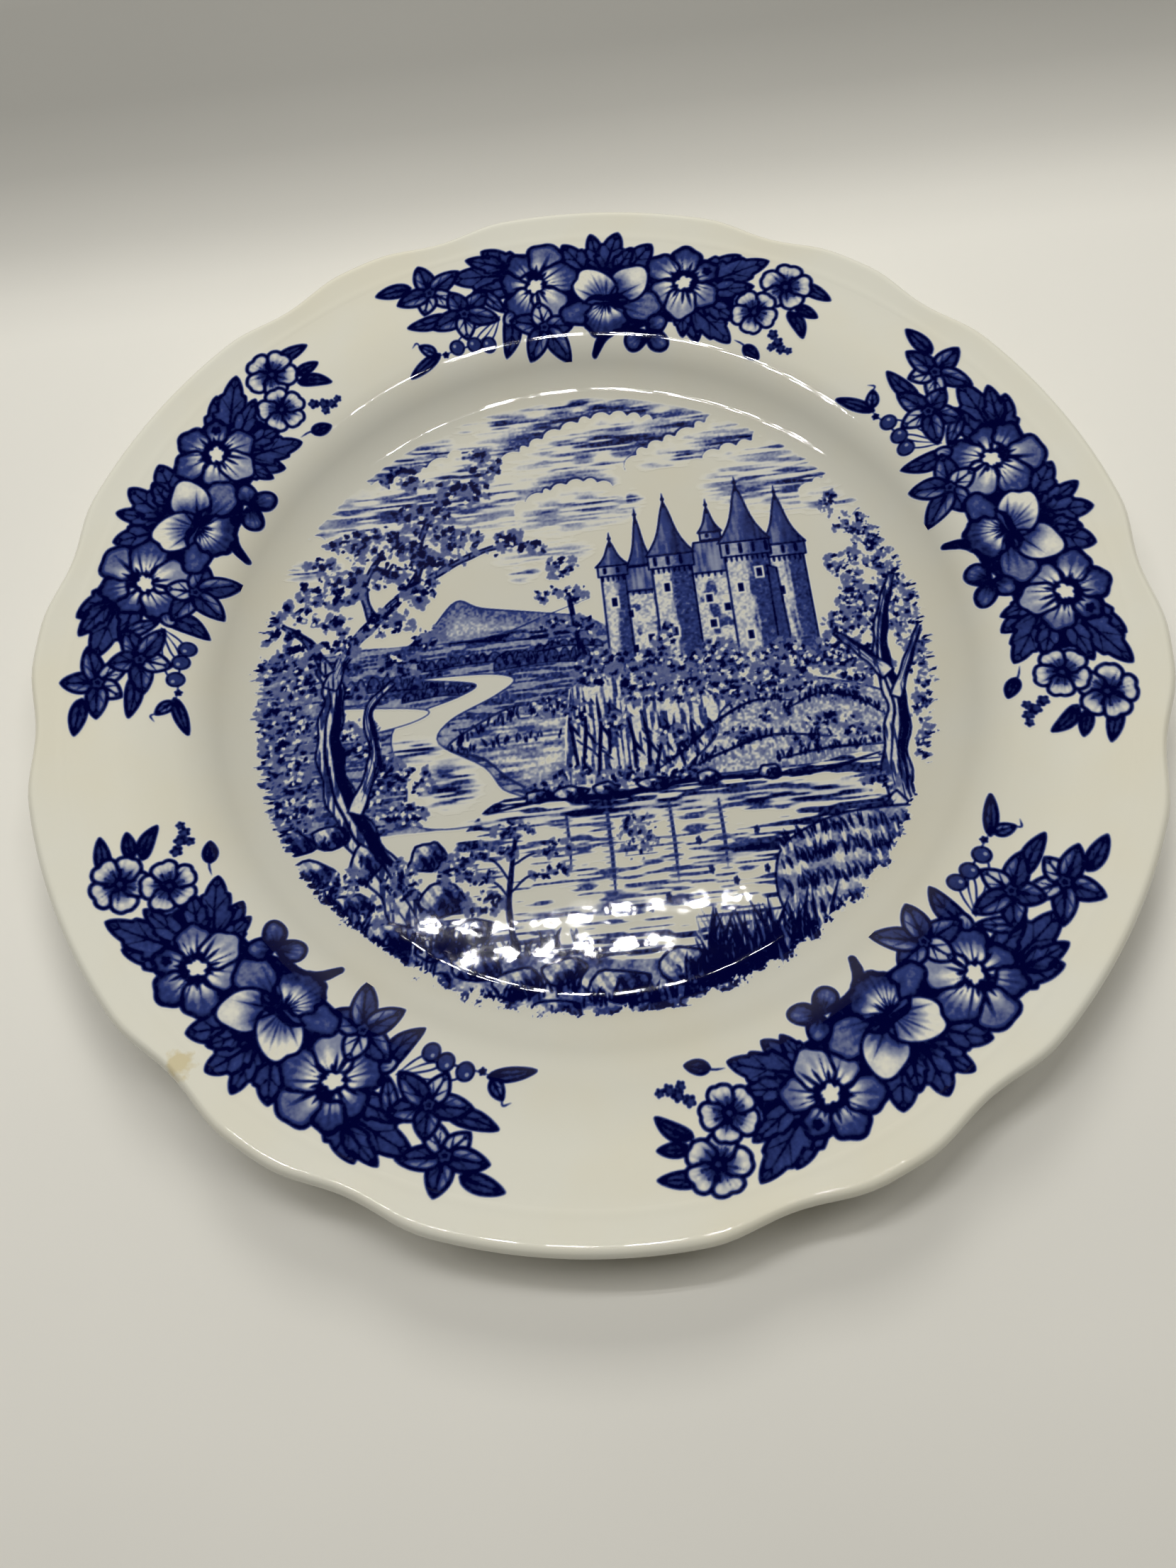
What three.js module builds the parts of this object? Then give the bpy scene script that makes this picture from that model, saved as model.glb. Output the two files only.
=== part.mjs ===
// A printed china dinner plate: a pressed clay body with a foot ring, six underglaze prints,
// and the two coats of clear glaze that cover all of the body except the foot's bare land.
// Millimetres, +Z up. The origin is on the plate's axis, on the plane that the foot stands on.
import * as THREE from "three";

// Sizes across the plate, as radii from its axis.
const RIM_RADIUS = 127; // to the outermost point of a lobe
const FLOOR_RADIUS = 74.5; // edge of the flat floor of the well
const FOOT_SET = 1; // from the floor's edge out to the middle of the foot ring
const FOOT_LAND = 3; // width of the ring's flat bearing face
const FILLET_SHARE = 0.6; // share of the ring's height below the fillets at its root

// The section, from the table up.
const FOOT_HEIGHT = 2.8; // from the table to the underside of the base
const WALL_THICKNESS = 4.2; // base, well wall and flange
const COVE_BEND = 20; // radius of the hollow curve from the floor up into the wall
const WALL_ANGLE = 37; // degrees from level, where the wall is steepest
const SHOULDER_BEND = 23; // radius of the round curve from the wall out into the flange
const FLANGE_ANGLE = 11.3; // degrees from level
const LIP_WIDTH = 9; // width of the border along the edge, which turns up a little
const LIP_UPTURN = 0.5; // how far the border lifts above the flange's own slope
const LIP_THICKNESS = 4;

// The edge has wide and narrow lobes in turn, with a soft notch between neighbours.
const LOBE_PAIRS = 6;
const WIDE_LOBE_ANGLE = 40; // degrees, from notch to notch
const LOBE_PHASE = 22.5; // degrees from +X to the middle of the first wide lobe
const NOTCH_DEPTH = 2.1;
const NOTCH_HALF_ANGLE = 8; // degrees, from the notch's middle to where it fades out
const NOTCH_REACH = 10; // how far in from the edge a notch draws the flange

// Layers, from the outside in: glaze, print, clay.
const GLAZE_THICKNESS = 0.3;
const PRINT_THICKNESS = 0.1;
const PRINT_CLEARANCE = 0.1; // on each face of a print
const GLAZE_STOP = 0.8; // height above the table at which the glaze is wiped off the foot

// Prints.
const CENTRE_PRINT_SPREAD = 9.5; // how far the centre print runs past the floor's edge
const SPRAY_COUNT = 5;
const SPRAY_PHASE = 13; // degrees from +X to the middle of the first spray
const SPRAY_ANGLE = 60; // degrees of flange that a spray covers
const SPRAY_INSET = 6.5; // bare flange between a spray and the edge
const PRINT_GAP = 4.5; // bare wall between the centre print and a spray's inner tips

// Facets round the plate start half a facet from +X, so that each notch is on a corner.
const FACETS = 72;
const CURVE_STEPS = 2; // facets along each bend of the section, and twice as many along an arc

const FACET_ANGLE = 360 / FACETS;
const PRINT_TOP = GLAZE_THICKNESS + PRINT_CLEARANCE;
const PRINT_BOTTOM = PRINT_TOP + PRINT_THICKNESS;
const COAT = PRINT_BOTTOM + PRINT_CLEARANCE;
const CENTRE_PRINT_RADIUS = FLOOR_RADIUS + CENTRE_PRINT_SPREAD;
const QUARTER = Math.PI / 2;
const wallAngle = THREE.MathUtils.degToRad(WALL_ANGLE);
const flangeAngle = THREE.MathUtils.degToRad(FLANGE_ANGLE);

// The centres of the two bends, which turn into each other where the wall is steepest.
const coveCentre = new THREE.Vector2(FLOOR_RADIUS, FOOT_HEIGHT + WALL_THICKNESS + COVE_BEND);
const shoulderCentre = new THREE.Vector2(Math.sin(wallAngle), -Math.cos(wallAngle))
  .multiplyScalar(COVE_BEND + SHOULDER_BEND)
  .add(coveCentre);

// Height of the flange's upper face, on its own straight slope.
function flangeZ(radius) {
  const level = shoulderCentre.y + SHOULDER_BEND / Math.cos(flangeAngle);
  return level + (radius - shoulderCentre.x) * Math.tan(flangeAngle);
}

// The finished face, from the middle of the well, over the rim, to the foot's outer side.
function outerChain() {
  const path = new THREE.Path();
  path.moveTo(0, coveCentre.y - COVE_BEND);
  path.lineTo(coveCentre.x, coveCentre.y - COVE_BEND);
  path.absarc(coveCentre.x, coveCentre.y, COVE_BEND, -QUARTER, wallAngle - QUARTER, false);
  path.absarc(
    shoulderCentre.x, shoulderCentre.y, SHOULDER_BEND, QUARTER + wallAngle, QUARTER + flangeAngle, true,
  );

  const lipStart = RIM_RADIUS - LIP_WIDTH;
  const lipMiddle = RIM_RADIUS - LIP_WIDTH / 2;
  const lipRound = LIP_THICKNESS / 2;
  const lipTop = flangeZ(RIM_RADIUS - lipRound) + LIP_UPTURN;
  const flangeUnder = WALL_THICKNESS / Math.cos(flangeAngle);
  path.lineTo(lipStart, flangeZ(lipStart));
  path.quadraticCurveTo(lipMiddle, flangeZ(lipMiddle), RIM_RADIUS - lipRound, lipTop);
  path.absarc(RIM_RADIUS - lipRound, lipTop - lipRound, lipRound, QUARTER, -QUARTER, true);
  path.quadraticCurveTo(
    lipMiddle, flangeZ(lipMiddle) - flangeUnder,
    lipStart, flangeZ(lipStart) - flangeUnder,
  );

  // The underside follows the upper face's bends, down to where the foot ring stands out.
  const under = (centre, radius, angle) =>
    new THREE.Vector2(Math.cos(angle), Math.sin(angle)).multiplyScalar(radius).add(centre);
  const shoulderUnder = SHOULDER_BEND - WALL_THICKNESS;
  const coveUnder = COVE_BEND + WALL_THICKNESS;
  const footSide = FLOOR_RADIUS + FOOT_SET + FOOT_LAND / 2;
  const footMeet = Math.asin((footSide + FOOT_LAND - FLOOR_RADIUS) / coveUnder);
  const flangeEnd = under(shoulderCentre, shoulderUnder, QUARTER + flangeAngle);
  const middle = under(shoulderCentre, shoulderUnder / Math.cos((wallAngle - flangeAngle) / 2),
    QUARTER + (wallAngle + flangeAngle) / 2);
  const steepest = under(shoulderCentre, shoulderUnder, QUARTER + wallAngle);
  const coveMiddle = under(coveCentre, coveUnder / Math.cos((wallAngle - footMeet) / 2),
    (wallAngle + footMeet) / 2 - QUARTER);
  const coveEnd = under(coveCentre, coveUnder, footMeet - QUARTER);
  path.lineTo(flangeEnd.x, flangeEnd.y);
  path.quadraticCurveTo(middle.x, middle.y, steepest.x, steepest.y);
  path.quadraticCurveTo(coveMiddle.x, coveMiddle.y, coveEnd.x, coveEnd.y);
  path.quadraticCurveTo(
    footSide + FOOT_LAND / 3, FOOT_HEIGHT,
    footSide + FOOT_LAND / 6, FOOT_HEIGHT * FILLET_SHARE,
  );
  path.lineTo(footSide, GLAZE_STOP);
  return path.getPoints(CURVE_STEPS);
}

// The finished underside inside the foot ring, from the ring's inner side to the middle.
function recessChain() {
  const path = new THREE.Path();
  const footSide = FLOOR_RADIUS + FOOT_SET - FOOT_LAND / 2;
  path.moveTo(footSide, GLAZE_STOP);
  path.lineTo(footSide - FOOT_LAND / 6, FOOT_HEIGHT * FILLET_SHARE);
  path.quadraticCurveTo(footSide - FOOT_LAND / 3, FOOT_HEIGHT, footSide - FOOT_LAND, FOOT_HEIGHT);
  path.lineTo(0, FOOT_HEIGHT);
  return path.getPoints(CURVE_STEPS);
}

// The same chain at a depth below the surface, with every facet parallel to its own.
function below(chain, depth) {
  const inward = (a, b) => new THREE.Vector2(b.y - a.y, a.x - b.x).normalize();
  return chain.map((point, i) => {
    const before = i > 0 ? inward(chain[i - 1], point) : inward(point, chain[i + 1]);
    const after = i < chain.length - 1 ? inward(point, chain[i + 1]) : before;
    const middle = before.clone().add(after).normalize();
    return middle.multiplyScalar(depth / middle.dot(before)).add(point);
  });
}

// A chain with corners added where it crosses some radii on its way out to the rim.
function withCorners(chain, radii) {
  const points = [...chain];
  for (const radius of radii) {
    const i = points.findIndex((p) => p.x > radius);
    const share = (radius - points[i - 1].x) / (points[i].x - points[i - 1].x);
    points.splice(i, 0, points[i - 1].clone().lerp(points[i], share));
  }
  return points;
}

// How far the edge is notched at an angle in degrees.
function notchDepth(angle) {
  const pair = 360 / LOBE_PAIRS;
  const along = THREE.MathUtils.euclideanModulo(angle - LOBE_PHASE + pair / 2, pair) - pair / 2;
  const away = Math.abs(Math.abs(along) - WIDE_LOBE_ANGLE / 2) / NOTCH_HALF_ANGLE;
  return away < 1 ? NOTCH_DEPTH * 0.5 * (1 + Math.cos(Math.PI * away)) : 0;
}

// A point of the section turned to an angle, and drawn in down the flange's slope by a notch.
function placed(radius, z, angle) {
  const share = THREE.MathUtils.smoothstep(radius, RIM_RADIUS - NOTCH_REACH, RIM_RADIUS);
  const drawnIn = share * notchDepth(angle);
  const turn = THREE.MathUtils.degToRad(angle);
  const reach = radius - drawnIn;
  const height = z - drawnIn * Math.tan(flangeAngle);
  return new THREE.Vector3(reach * Math.cos(turn), reach * Math.sin(turn), height);
}

// Moves every vertex of a geometry by a function of its place.
function moved(geometry, to) {
  const place = geometry.getAttribute("position");
  const point = new THREE.Vector3();
  for (let i = 0; i < place.count; i++) {
    point.fromBufferAttribute(place, i);
    place.setXYZ(i, ...to(point).toArray());
  }
  geometry.computeVertexNormals();
  return geometry;
}

// A section turned round the plate's axis, with the notches in its edge.
function turned(section) {
  const lathe = new THREE.LatheGeometry(section, FACETS, THREE.MathUtils.degToRad(FACET_ANGLE / 2));
  return moved(lathe, (p) => {
    const angle = THREE.MathUtils.radToDeg(Math.atan2(p.x, p.z));
    return placed(Math.hypot(p.x, p.z), p.y, angle);
  });
}

const outer = outerChain();
const recess = recessChain();

// The clay under its coats, with its foot bare where it stands.
function plateBody() {
  const outside = below(outer, COAT);
  const inside = below(recess, COAT);
  const land = [new THREE.Vector2(outside.at(-1).x, 0), new THREE.Vector2(inside[0].x, 0)];
  return turned([...outside, ...land, ...inside].reverse());
}

// A coat of glaze over the well, flange, rim and underside, down to the foot.
function outerGlazeCoat() {
  return turned([...below(outer, GLAZE_THICKNESS), ...[...outer].reverse()]);
}

// A coat of glaze inside the foot ring. It faces down, so its finished face is listed first.
function footRecessGlazeCoat() {
  return turned([...[...recess].reverse(), ...below(recess, GLAZE_THICKNESS)]);
}

// Where a chain first reaches a radius on its way out to the rim.
function indexAt(chain, radius) {
  return chain.findIndex((p) => Math.abs(p.x - radius) < 1e-6);
}

// A print that covers the floor of the well and the start of its wall.
function centrePrint() {
  const chain = withCorners(outer, [CENTRE_PRINT_RADIUS]);
  const count = indexAt(chain, CENTRE_PRINT_RADIUS) + 1;
  const top = below(chain, PRINT_TOP).slice(0, count);
  const bottom = below(chain, PRINT_BOTTOM).slice(0, count);
  return turned([...bottom, ...top.reverse()]);
}

// A print that covers part of the flange, and reaches a little way down the wall of the well.
function sprayPrint(middleAngle) {
  const radii = [CENTRE_PRINT_RADIUS + PRINT_GAP, RIM_RADIUS - SPRAY_INSET];
  const chain = withCorners(outer, radii);
  const [first, last] = radii.map((radius) => indexAt(chain, radius));
  const top = below(chain, PRINT_TOP);
  const bottom = below(chain, PRINT_BOTTOM);
  const rows = last - first;
  const columns = Math.round(SPRAY_ANGLE / FACET_ANGLE);
  const start = (Math.round((middleAngle - SPRAY_ANGLE / 2) / FACET_ANGLE) + 0.5) * FACET_ANGLE;
  const block = new THREE.BoxGeometry(rows, columns, 1, rows, columns, 1);
  return moved(block, (p) => {
    const layer = p.z > 0 ? top : bottom;
    const point = layer[first + Math.round(p.x + rows / 2)];
    return placed(point.x, point.y, start + (p.y + columns / 2) * FACET_ANGLE);
  });
}

const clay = new THREE.MeshStandardMaterial({ color: 0xe6ddc8, roughness: 0.8, metalness: 0 });
const glaze = new THREE.MeshStandardMaterial({ color: 0xece8da, roughness: 0.08, metalness: 0 });
const cobalt = new THREE.MeshStandardMaterial({ color: 0x2c3a8c, roughness: 0.3, metalness: 0 });

const plate = new THREE.Group();

function addPiece(name, geometry, material) {
  const mesh = new THREE.Mesh(geometry, material);
  mesh.name = name;
  plate.add(mesh);
}

addPiece("plate_body", plateBody(), clay);
addPiece("outer_glaze_coat", outerGlazeCoat(), glaze);
addPiece("foot_recess_glaze_coat", footRecessGlazeCoat(), glaze);
addPiece("centre_print", centrePrint(), cobalt);
for (let k = 0; k < SPRAY_COUNT; k++) {
  addPiece(`rim_spray_print_${k + 1}`, sprayPrint(SPRAY_PHASE + (k * 360) / SPRAY_COUNT), cobalt);
}

export default plate;
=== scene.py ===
"""A printed china dinner plate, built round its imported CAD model.

The plate is a pressed clay body, two coats of clear glaze, a landscape printed in the well and
five flower sprays printed on the flange. Each print is engraved in code on a flat sheet, which
is then laid on the plate's own section.
"""

import itertools
import math

import bmesh
import bpy
import numpy as np
from bpy.props import FloatProperty, FloatVectorProperty, IntProperty, PointerProperty
from mathutils import Matrix, Vector


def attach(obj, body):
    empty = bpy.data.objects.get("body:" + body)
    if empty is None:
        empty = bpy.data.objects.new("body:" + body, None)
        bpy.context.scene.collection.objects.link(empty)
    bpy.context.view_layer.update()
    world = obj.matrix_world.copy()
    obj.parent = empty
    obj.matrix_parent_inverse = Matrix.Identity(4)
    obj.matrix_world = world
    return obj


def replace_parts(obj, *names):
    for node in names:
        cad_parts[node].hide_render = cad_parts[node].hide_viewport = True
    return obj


bl_info = {
    "name": "Printed China Plate",
    "version": (1, 0, 0),
    "blender": (4, 5, 0),
    "location": "View3D > Sidebar > Plate",
    "description": "Models a lobed china dinner plate with blue transfer prints",
    "category": "Add Mesh",
}

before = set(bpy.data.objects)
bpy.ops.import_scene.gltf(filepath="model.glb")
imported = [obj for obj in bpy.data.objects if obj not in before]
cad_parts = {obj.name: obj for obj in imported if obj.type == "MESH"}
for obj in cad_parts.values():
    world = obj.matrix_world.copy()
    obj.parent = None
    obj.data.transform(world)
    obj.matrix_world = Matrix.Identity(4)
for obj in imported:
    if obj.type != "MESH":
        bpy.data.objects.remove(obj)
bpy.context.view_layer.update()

MM = 0.001
BODY = "root"
QUARTER = math.pi / 2

# The engraver's two flat tones, between 0, bare, and 1, the deep lines.
SOFT = 0.52
EVEN = 0.74
# Below this the sheet counts as bare and is cut away.
BARE = 0.02
# Between the back of a coat of glaze and the clay, in millimetres.
BODY_GAP = 0.02
# The stain's place, in metres: on the outside of the edge, low on the near left.
STAIN_PLACE = (-0.0900, -0.0825, 0.0205)


class PlateSizes(bpy.types.PropertyGroup):
    """Sizes of the plate, in millimetres unless they say otherwise."""

    rim_radius: FloatProperty(
        name="Rim Radius", default=127.0, min=90.0,
        description="From the axis to the outermost point of a lobe, in mm",
    )
    floor_radius: FloatProperty(
        name="Floor Radius", default=74.5, min=40.0,
        description="Radius of the flat floor of the well, in mm",
    )
    foot_set: FloatProperty(
        name="Foot Set", default=1.0,
        description="From the floor's edge out to the middle of the foot ring, in mm",
    )
    foot_land: FloatProperty(
        name="Foot Land", default=3.0, min=1.0,
        description="Width of the foot ring's bearing face, in mm",
    )
    foot_height: FloatProperty(
        name="Foot Height", default=2.8, min=1.0,
        description="From the table to the underside of the base, in mm",
    )
    wall_thickness: FloatProperty(
        name="Wall Thickness", default=4.2, min=2.0,
        description="Thickness of the base, the well's wall and the flange, in mm",
    )
    cove_bend: FloatProperty(
        name="Cove Bend", default=20.0, min=8.0,
        description="Radius of the hollow curve from the floor up into the wall, in mm",
    )
    wall_angle: FloatProperty(
        name="Wall Angle", default=math.radians(37), subtype="ANGLE",
        description="Slope of the well's wall where it is steepest",
    )
    shoulder_bend: FloatProperty(
        name="Shoulder Bend", default=23.0, min=8.0,
        description="Radius of the round curve from the wall out into the flange, in mm",
    )
    flange_angle: FloatProperty(
        name="Flange Angle", default=math.radians(11.3), subtype="ANGLE",
        description="Slope of the flange",
    )
    lip_width: FloatProperty(
        name="Lip Width", default=9.0, min=2.0,
        description="Width of the border that turns up along the edge, in mm",
    )
    lip_upturn: FloatProperty(
        name="Lip Upturn", default=0.5, min=0.0,
        description="How far the border lifts above the flange's slope, in mm",
    )
    lip_thickness: FloatProperty(
        name="Lip Thickness", default=4.0, min=1.0,
        description="Thickness of the rounded edge, in mm",
    )
    lobe_pairs: IntProperty(
        name="Lobe Pairs", default=6, min=1,
        description="Number of wide lobes, with a narrow one after each",
    )
    wide_lobe: FloatProperty(
        name="Wide Lobe", default=math.radians(40), subtype="ANGLE",
        description="Angle of a wide lobe, from notch to notch",
    )
    lobe_phase: FloatProperty(
        name="Lobe Phase", default=math.radians(22.5), subtype="ANGLE",
        description="From +X to the middle of the first wide lobe",
    )
    notch_depth: FloatProperty(
        name="Notch Depth", default=2.1, min=0.0,
        description="How far a notch draws the edge in, in mm",
    )
    notch_half_angle: FloatProperty(
        name="Notch Half Angle", default=math.radians(8), subtype="ANGLE",
        description="From the middle of a notch to where it fades out",
    )
    notch_reach: FloatProperty(
        name="Notch Reach", default=10.0, min=2.0,
        description="How far in from the edge a notch draws the flange, in mm",
    )
    bead_height: FloatProperty(
        name="Bead Height", default=0.1, min=0.0,
        description="Height of the soft moulded line inside the edge, in mm",
    )
    glaze_thickness: FloatProperty(
        name="Glaze Thickness", default=0.3, min=0.05,
        description="Thickness of the coats of glaze, in mm",
    )
    glaze_stop: FloatProperty(
        name="Glaze Stop", default=0.8, min=0.2,
        description="Height above the table at which the glaze is wiped off the foot, in mm",
    )
    turns: IntProperty(
        name="Turns", default=300, min=72,
        description="Number of facets round the plate",
    )


class PlateColours(bpy.types.PropertyGroup):
    """Colours of the plate's clay, glaze and inks, and of the stage."""

    ivory: FloatVectorProperty(
        name="Ivory", subtype="COLOR", size=3, default=(0.80, 0.785, 0.685),
        description="The body's colour, seen through the clear glaze",
    )
    cream: FloatVectorProperty(
        name="Cream", subtype="COLOR", size=3, default=(0.80, 0.768, 0.635),
        description="Warmer patches of the body",
    )
    clay: FloatVectorProperty(
        name="Clay", subtype="COLOR", size=3, default=(0.66, 0.57, 0.44),
        description="Bare fired clay on the foot's land",
    )
    stain: FloatVectorProperty(
        name="Stain", subtype="COLOR", size=3, default=(0.62, 0.50, 0.22),
        description="An old tea stain in a chip of glaze on the edge",
    )
    pale_ink: FloatVectorProperty(
        name="Pale Ink", subtype="COLOR", size=3, default=(0.28, 0.31, 0.42),
        description="Thinly laid cobalt ink",
    )
    mid_ink: FloatVectorProperty(
        name="Mid Ink", subtype="COLOR", size=3, default=(0.031, 0.050, 0.205),
        description="Evenly laid cobalt ink",
    )
    deep_ink: FloatVectorProperty(
        name="Deep Ink", subtype="COLOR", size=3, default=(0.0005, 0.001, 0.036),
        description="Cobalt ink in the engraver's deep lines",
    )
    floor: FloatVectorProperty(
        name="Floor", subtype="COLOR", size=3, default=(0.90, 0.88, 0.815),
        description="Paint of the studio's floor",
    )


class PrintSettings(bpy.types.PropertyGroup):
    """Where the prints lie, and how finely they are engraved."""

    landscape_pitch: FloatProperty(
        name="Landscape Pitch", default=0.25, min=0.1,
        description="Distance between points of the landscape print, in mm",
    )
    spray_pitch: FloatProperty(
        name="Spray Pitch", default=0.23, min=0.1,
        description="Distance between points of a spray print, in mm",
    )
    landscape_radius: FloatProperty(
        name="Landscape Radius", default=80.5, min=10.0,
        description="Radius of the landscape, in mm",
    )
    landscape_offset: FloatVectorProperty(
        name="Landscape Offset", size=2, default=(-0.5, -0.5),
        description="How far off the axis the landscape was laid, in mm",
    )
    spray_radius: FloatProperty(
        name="Spray Radius", default=103.8, min=10.0,
        description="From the axis to the middle line of the sprays, in mm",
    )
    spray_phase: FloatProperty(
        name="Spray Phase", default=math.radians(84.1), subtype="ANGLE",
        description="From +X to the middle of the first spray",
    )
    spray_scale: FloatProperty(
        name="Spray Scale", default=0.97, min=0.5,
        description="Size of the sprays against the sheet they are engraved on",
    )
    spray_count: IntProperty(
        name="Sprays", default=5, min=1, max=5, description="Number of sprays on the flange",
    )
    lift: FloatProperty(
        name="Lift", default=0.03, min=0.0,
        description="How far the prints stand off the glaze, in mm",
    )


class StageSettings(bpy.types.PropertyGroup):
    """The camera and the light."""

    lens: FloatProperty(
        name="Lens", default=27.5, unit="CAMERA", description="Focal length of the camera",
    )
    distance: FloatProperty(
        name="Distance", default=0.25856, unit="LENGTH",
        description="From the camera to the point it looks at",
    )
    elevation: FloatProperty(
        name="Elevation", default=math.radians(68.735), subtype="ANGLE",
        description="Height of the camera above level",
    )
    azimuth: FloatProperty(
        name="Azimuth", default=math.radians(2.23), subtype="ANGLE",
        description="How far the camera is turned round the plate",
    )
    roll: FloatProperty(
        name="Roll", default=math.radians(-8.42), subtype="ANGLE",
        description="How far the camera is turned about its own line of sight",
    )
    aim: FloatVectorProperty(
        name="Aim", size=3, subtype="TRANSLATION", default=(-0.00326, -0.03144, 0.0173),
        description="The point that the camera looks at",
    )
    strip_power: FloatProperty(
        name="Strip Power", default=0.08, min=0.0,
        description="Power of each lamp of the overhead strips, in watts",
    )
    soft_power: FloatProperty(
        name="Soft Power", default=7.1, min=0.0,
        description="Power of the broad soft light, in watts",
    )
    light_tint: FloatVectorProperty(
        name="Light Tint", subtype="COLOR", size=3, default=(1.0, 0.985, 0.94),
        description="Colour of the soft lights",
    )
    room_light: FloatProperty(
        name="Room Light", default=0.07, min=0.0,
        description="Strength of the light that comes from all round",
    )


class Section:
    """The plate's finished section, from the middle of its well, over the rim, to its axis below."""

    ARC_STEPS = 18
    LINE_STEPS = 10
    ROUND_STEPS = 20

    def __init__(self, sizes):
        self.sizes = sizes
        floor_z = sizes.foot_height + sizes.wall_thickness
        self.cove = np.array((sizes.floor_radius, floor_z + sizes.cove_bend))
        down_wall = np.array((math.sin(sizes.wall_angle), -math.cos(sizes.wall_angle)))
        self.shoulder = self.cove + down_wall * (sizes.cove_bend + sizes.shoulder_bend)
        self.upper = self._upper()
        self.under = self._under()
        self.recess = self._recess()

    def flange_z(self, radius):
        """Height of the flange's upper face on its own straight slope."""
        slope = self.sizes.flange_angle
        level = self.shoulder[1] + self.sizes.shoulder_bend / math.cos(slope)
        return level + (radius - self.shoulder[0]) * math.tan(slope)

    def _upper(self):
        """From the middle of the well to the top of the rounded edge."""
        sizes = self.sizes
        steps = self.ARC_STEPS
        floor = line((0.0, self.cove[1] - sizes.cove_bend), self.cove - (0, sizes.cove_bend), steps)
        cove = arc(self.cove, sizes.cove_bend, -QUARTER, sizes.wall_angle - QUARTER, steps)
        shoulder = arc(
            self.shoulder, sizes.shoulder_bend,
            QUARTER + sizes.wall_angle, QUARTER + sizes.flange_angle, steps,
        )
        start = sizes.rim_radius - sizes.lip_width
        middle = start + sizes.lip_width / 7
        top = sizes.rim_radius - sizes.lip_thickness / 2
        self.lip_top = self.flange_z(top) + sizes.lip_upturn
        flange = line(shoulder[-1], (start, self.flange_z(start)), self.LINE_STEPS)
        lip = bend(flange[-1], (middle, self.flange_z(middle)), (top, self.lip_top), steps)
        chain = np.concatenate([floor, cove[1:], shoulder[1:], flange[1:], lip[1:]])
        bead = np.exp(-(((chain[:, 0] - start - 1) / 1.1) ** 2))
        chain[:, 1] += sizes.bead_height * bead
        return chain

    def _under(self):
        """From the top of the rounded edge to the glaze's edge on the foot's outer side."""
        sizes = self.sizes
        half = sizes.lip_thickness / 2
        edge = np.array((sizes.rim_radius - half, self.lip_top - half))
        start = sizes.rim_radius - sizes.lip_width
        middle = sizes.rim_radius - sizes.lip_width / 2
        drop = sizes.wall_thickness / math.cos(sizes.flange_angle)
        foot_side = sizes.floor_radius + sizes.foot_set + sizes.foot_land / 2
        cove_radius = sizes.cove_bend + sizes.wall_thickness
        shoulder_radius = sizes.shoulder_bend - sizes.wall_thickness
        meet = math.asin((foot_side + sizes.foot_land - sizes.floor_radius) / cove_radius)
        pieces = [
            arc(edge, half, QUARTER, -QUARTER, self.ROUND_STEPS),
            bend(
                edge - (0, half), (middle, self.flange_z(middle) - drop),
                (start, self.flange_z(start) - drop), self.LINE_STEPS,
            ),
            arc(
                self.shoulder, shoulder_radius,
                QUARTER + sizes.flange_angle, QUARTER + sizes.wall_angle, self.ARC_STEPS,
            ),
            arc(self.cove, cove_radius, sizes.wall_angle - QUARTER, meet - QUARTER, self.ARC_STEPS),
        ]
        pieces.append(bend(
            pieces[-1][-1], (foot_side + sizes.foot_land / 3, sizes.foot_height),
            (foot_side + sizes.foot_land / 6, sizes.foot_height * 0.6), self.LINE_STEPS,
        ))
        pieces.append(line(pieces[-1][-1], (foot_side, sizes.glaze_stop), 3))
        return np.concatenate([pieces[0]] + [piece[1:] for piece in pieces[1:]])

    def _recess(self):
        """From the glaze's edge inside the foot ring to the middle of the underside."""
        sizes = self.sizes
        side = sizes.floor_radius + sizes.foot_set - sizes.foot_land / 2
        root = (side - sizes.foot_land / 6, sizes.foot_height * 0.6)
        rise = line((side, sizes.glaze_stop), root, 3)
        fillet = bend(
            root, (side - sizes.foot_land / 3, sizes.foot_height),
            (side - sizes.foot_land, sizes.foot_height), self.LINE_STEPS,
        )
        base = line(fillet[-1], (0.0, sizes.foot_height), self.ARC_STEPS)
        return np.concatenate([rise, fillet[1:], base[1:]])

    def height(self, radius):
        """Height of the plate's upper face at a radius, or at an array of them."""
        return np.interp(radius, self.upper[:, 0], self.upper[:, 1])

    def placed(self, radius, angle, height):
        """Places on the plate, drawn in down the flange's slope by the notches, in metres."""
        sizes = self.sizes
        pair = 2 * math.pi / sizes.lobe_pairs
        along = (angle - sizes.lobe_phase + pair / 2) % pair - pair / 2
        away = np.abs(np.abs(along) - sizes.wide_lobe / 2) / sizes.notch_half_angle
        depth = sizes.notch_depth * 0.5 * (1 + np.cos(math.pi * np.minimum(away, 1)))
        drawn_in = depth * smooth((radius - sizes.rim_radius) / sizes.notch_reach + 1)
        reach = radius - drawn_in
        down = height - drawn_in * math.tan(sizes.flange_angle)
        return np.stack([reach * np.cos(angle), reach * np.sin(angle), down], -1) * MM


def smooth(share):
    """An even start and stop from 0 to 1."""
    share = np.clip(share, 0, 1)
    return share * share * (3 - 2 * share)


def line(start, end, steps):
    """Points along a straight line."""
    share = np.linspace(0, 1, steps + 1)[:, None]
    return np.asarray(start) * (1 - share) + np.asarray(end) * share


def arc(centre, radius, start, end, steps):
    """Points along an arc, from one angle to another."""
    angle = np.linspace(start, end, steps + 1)
    return np.asarray(centre) + radius * np.stack([np.cos(angle), np.sin(angle)], -1)


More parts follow.
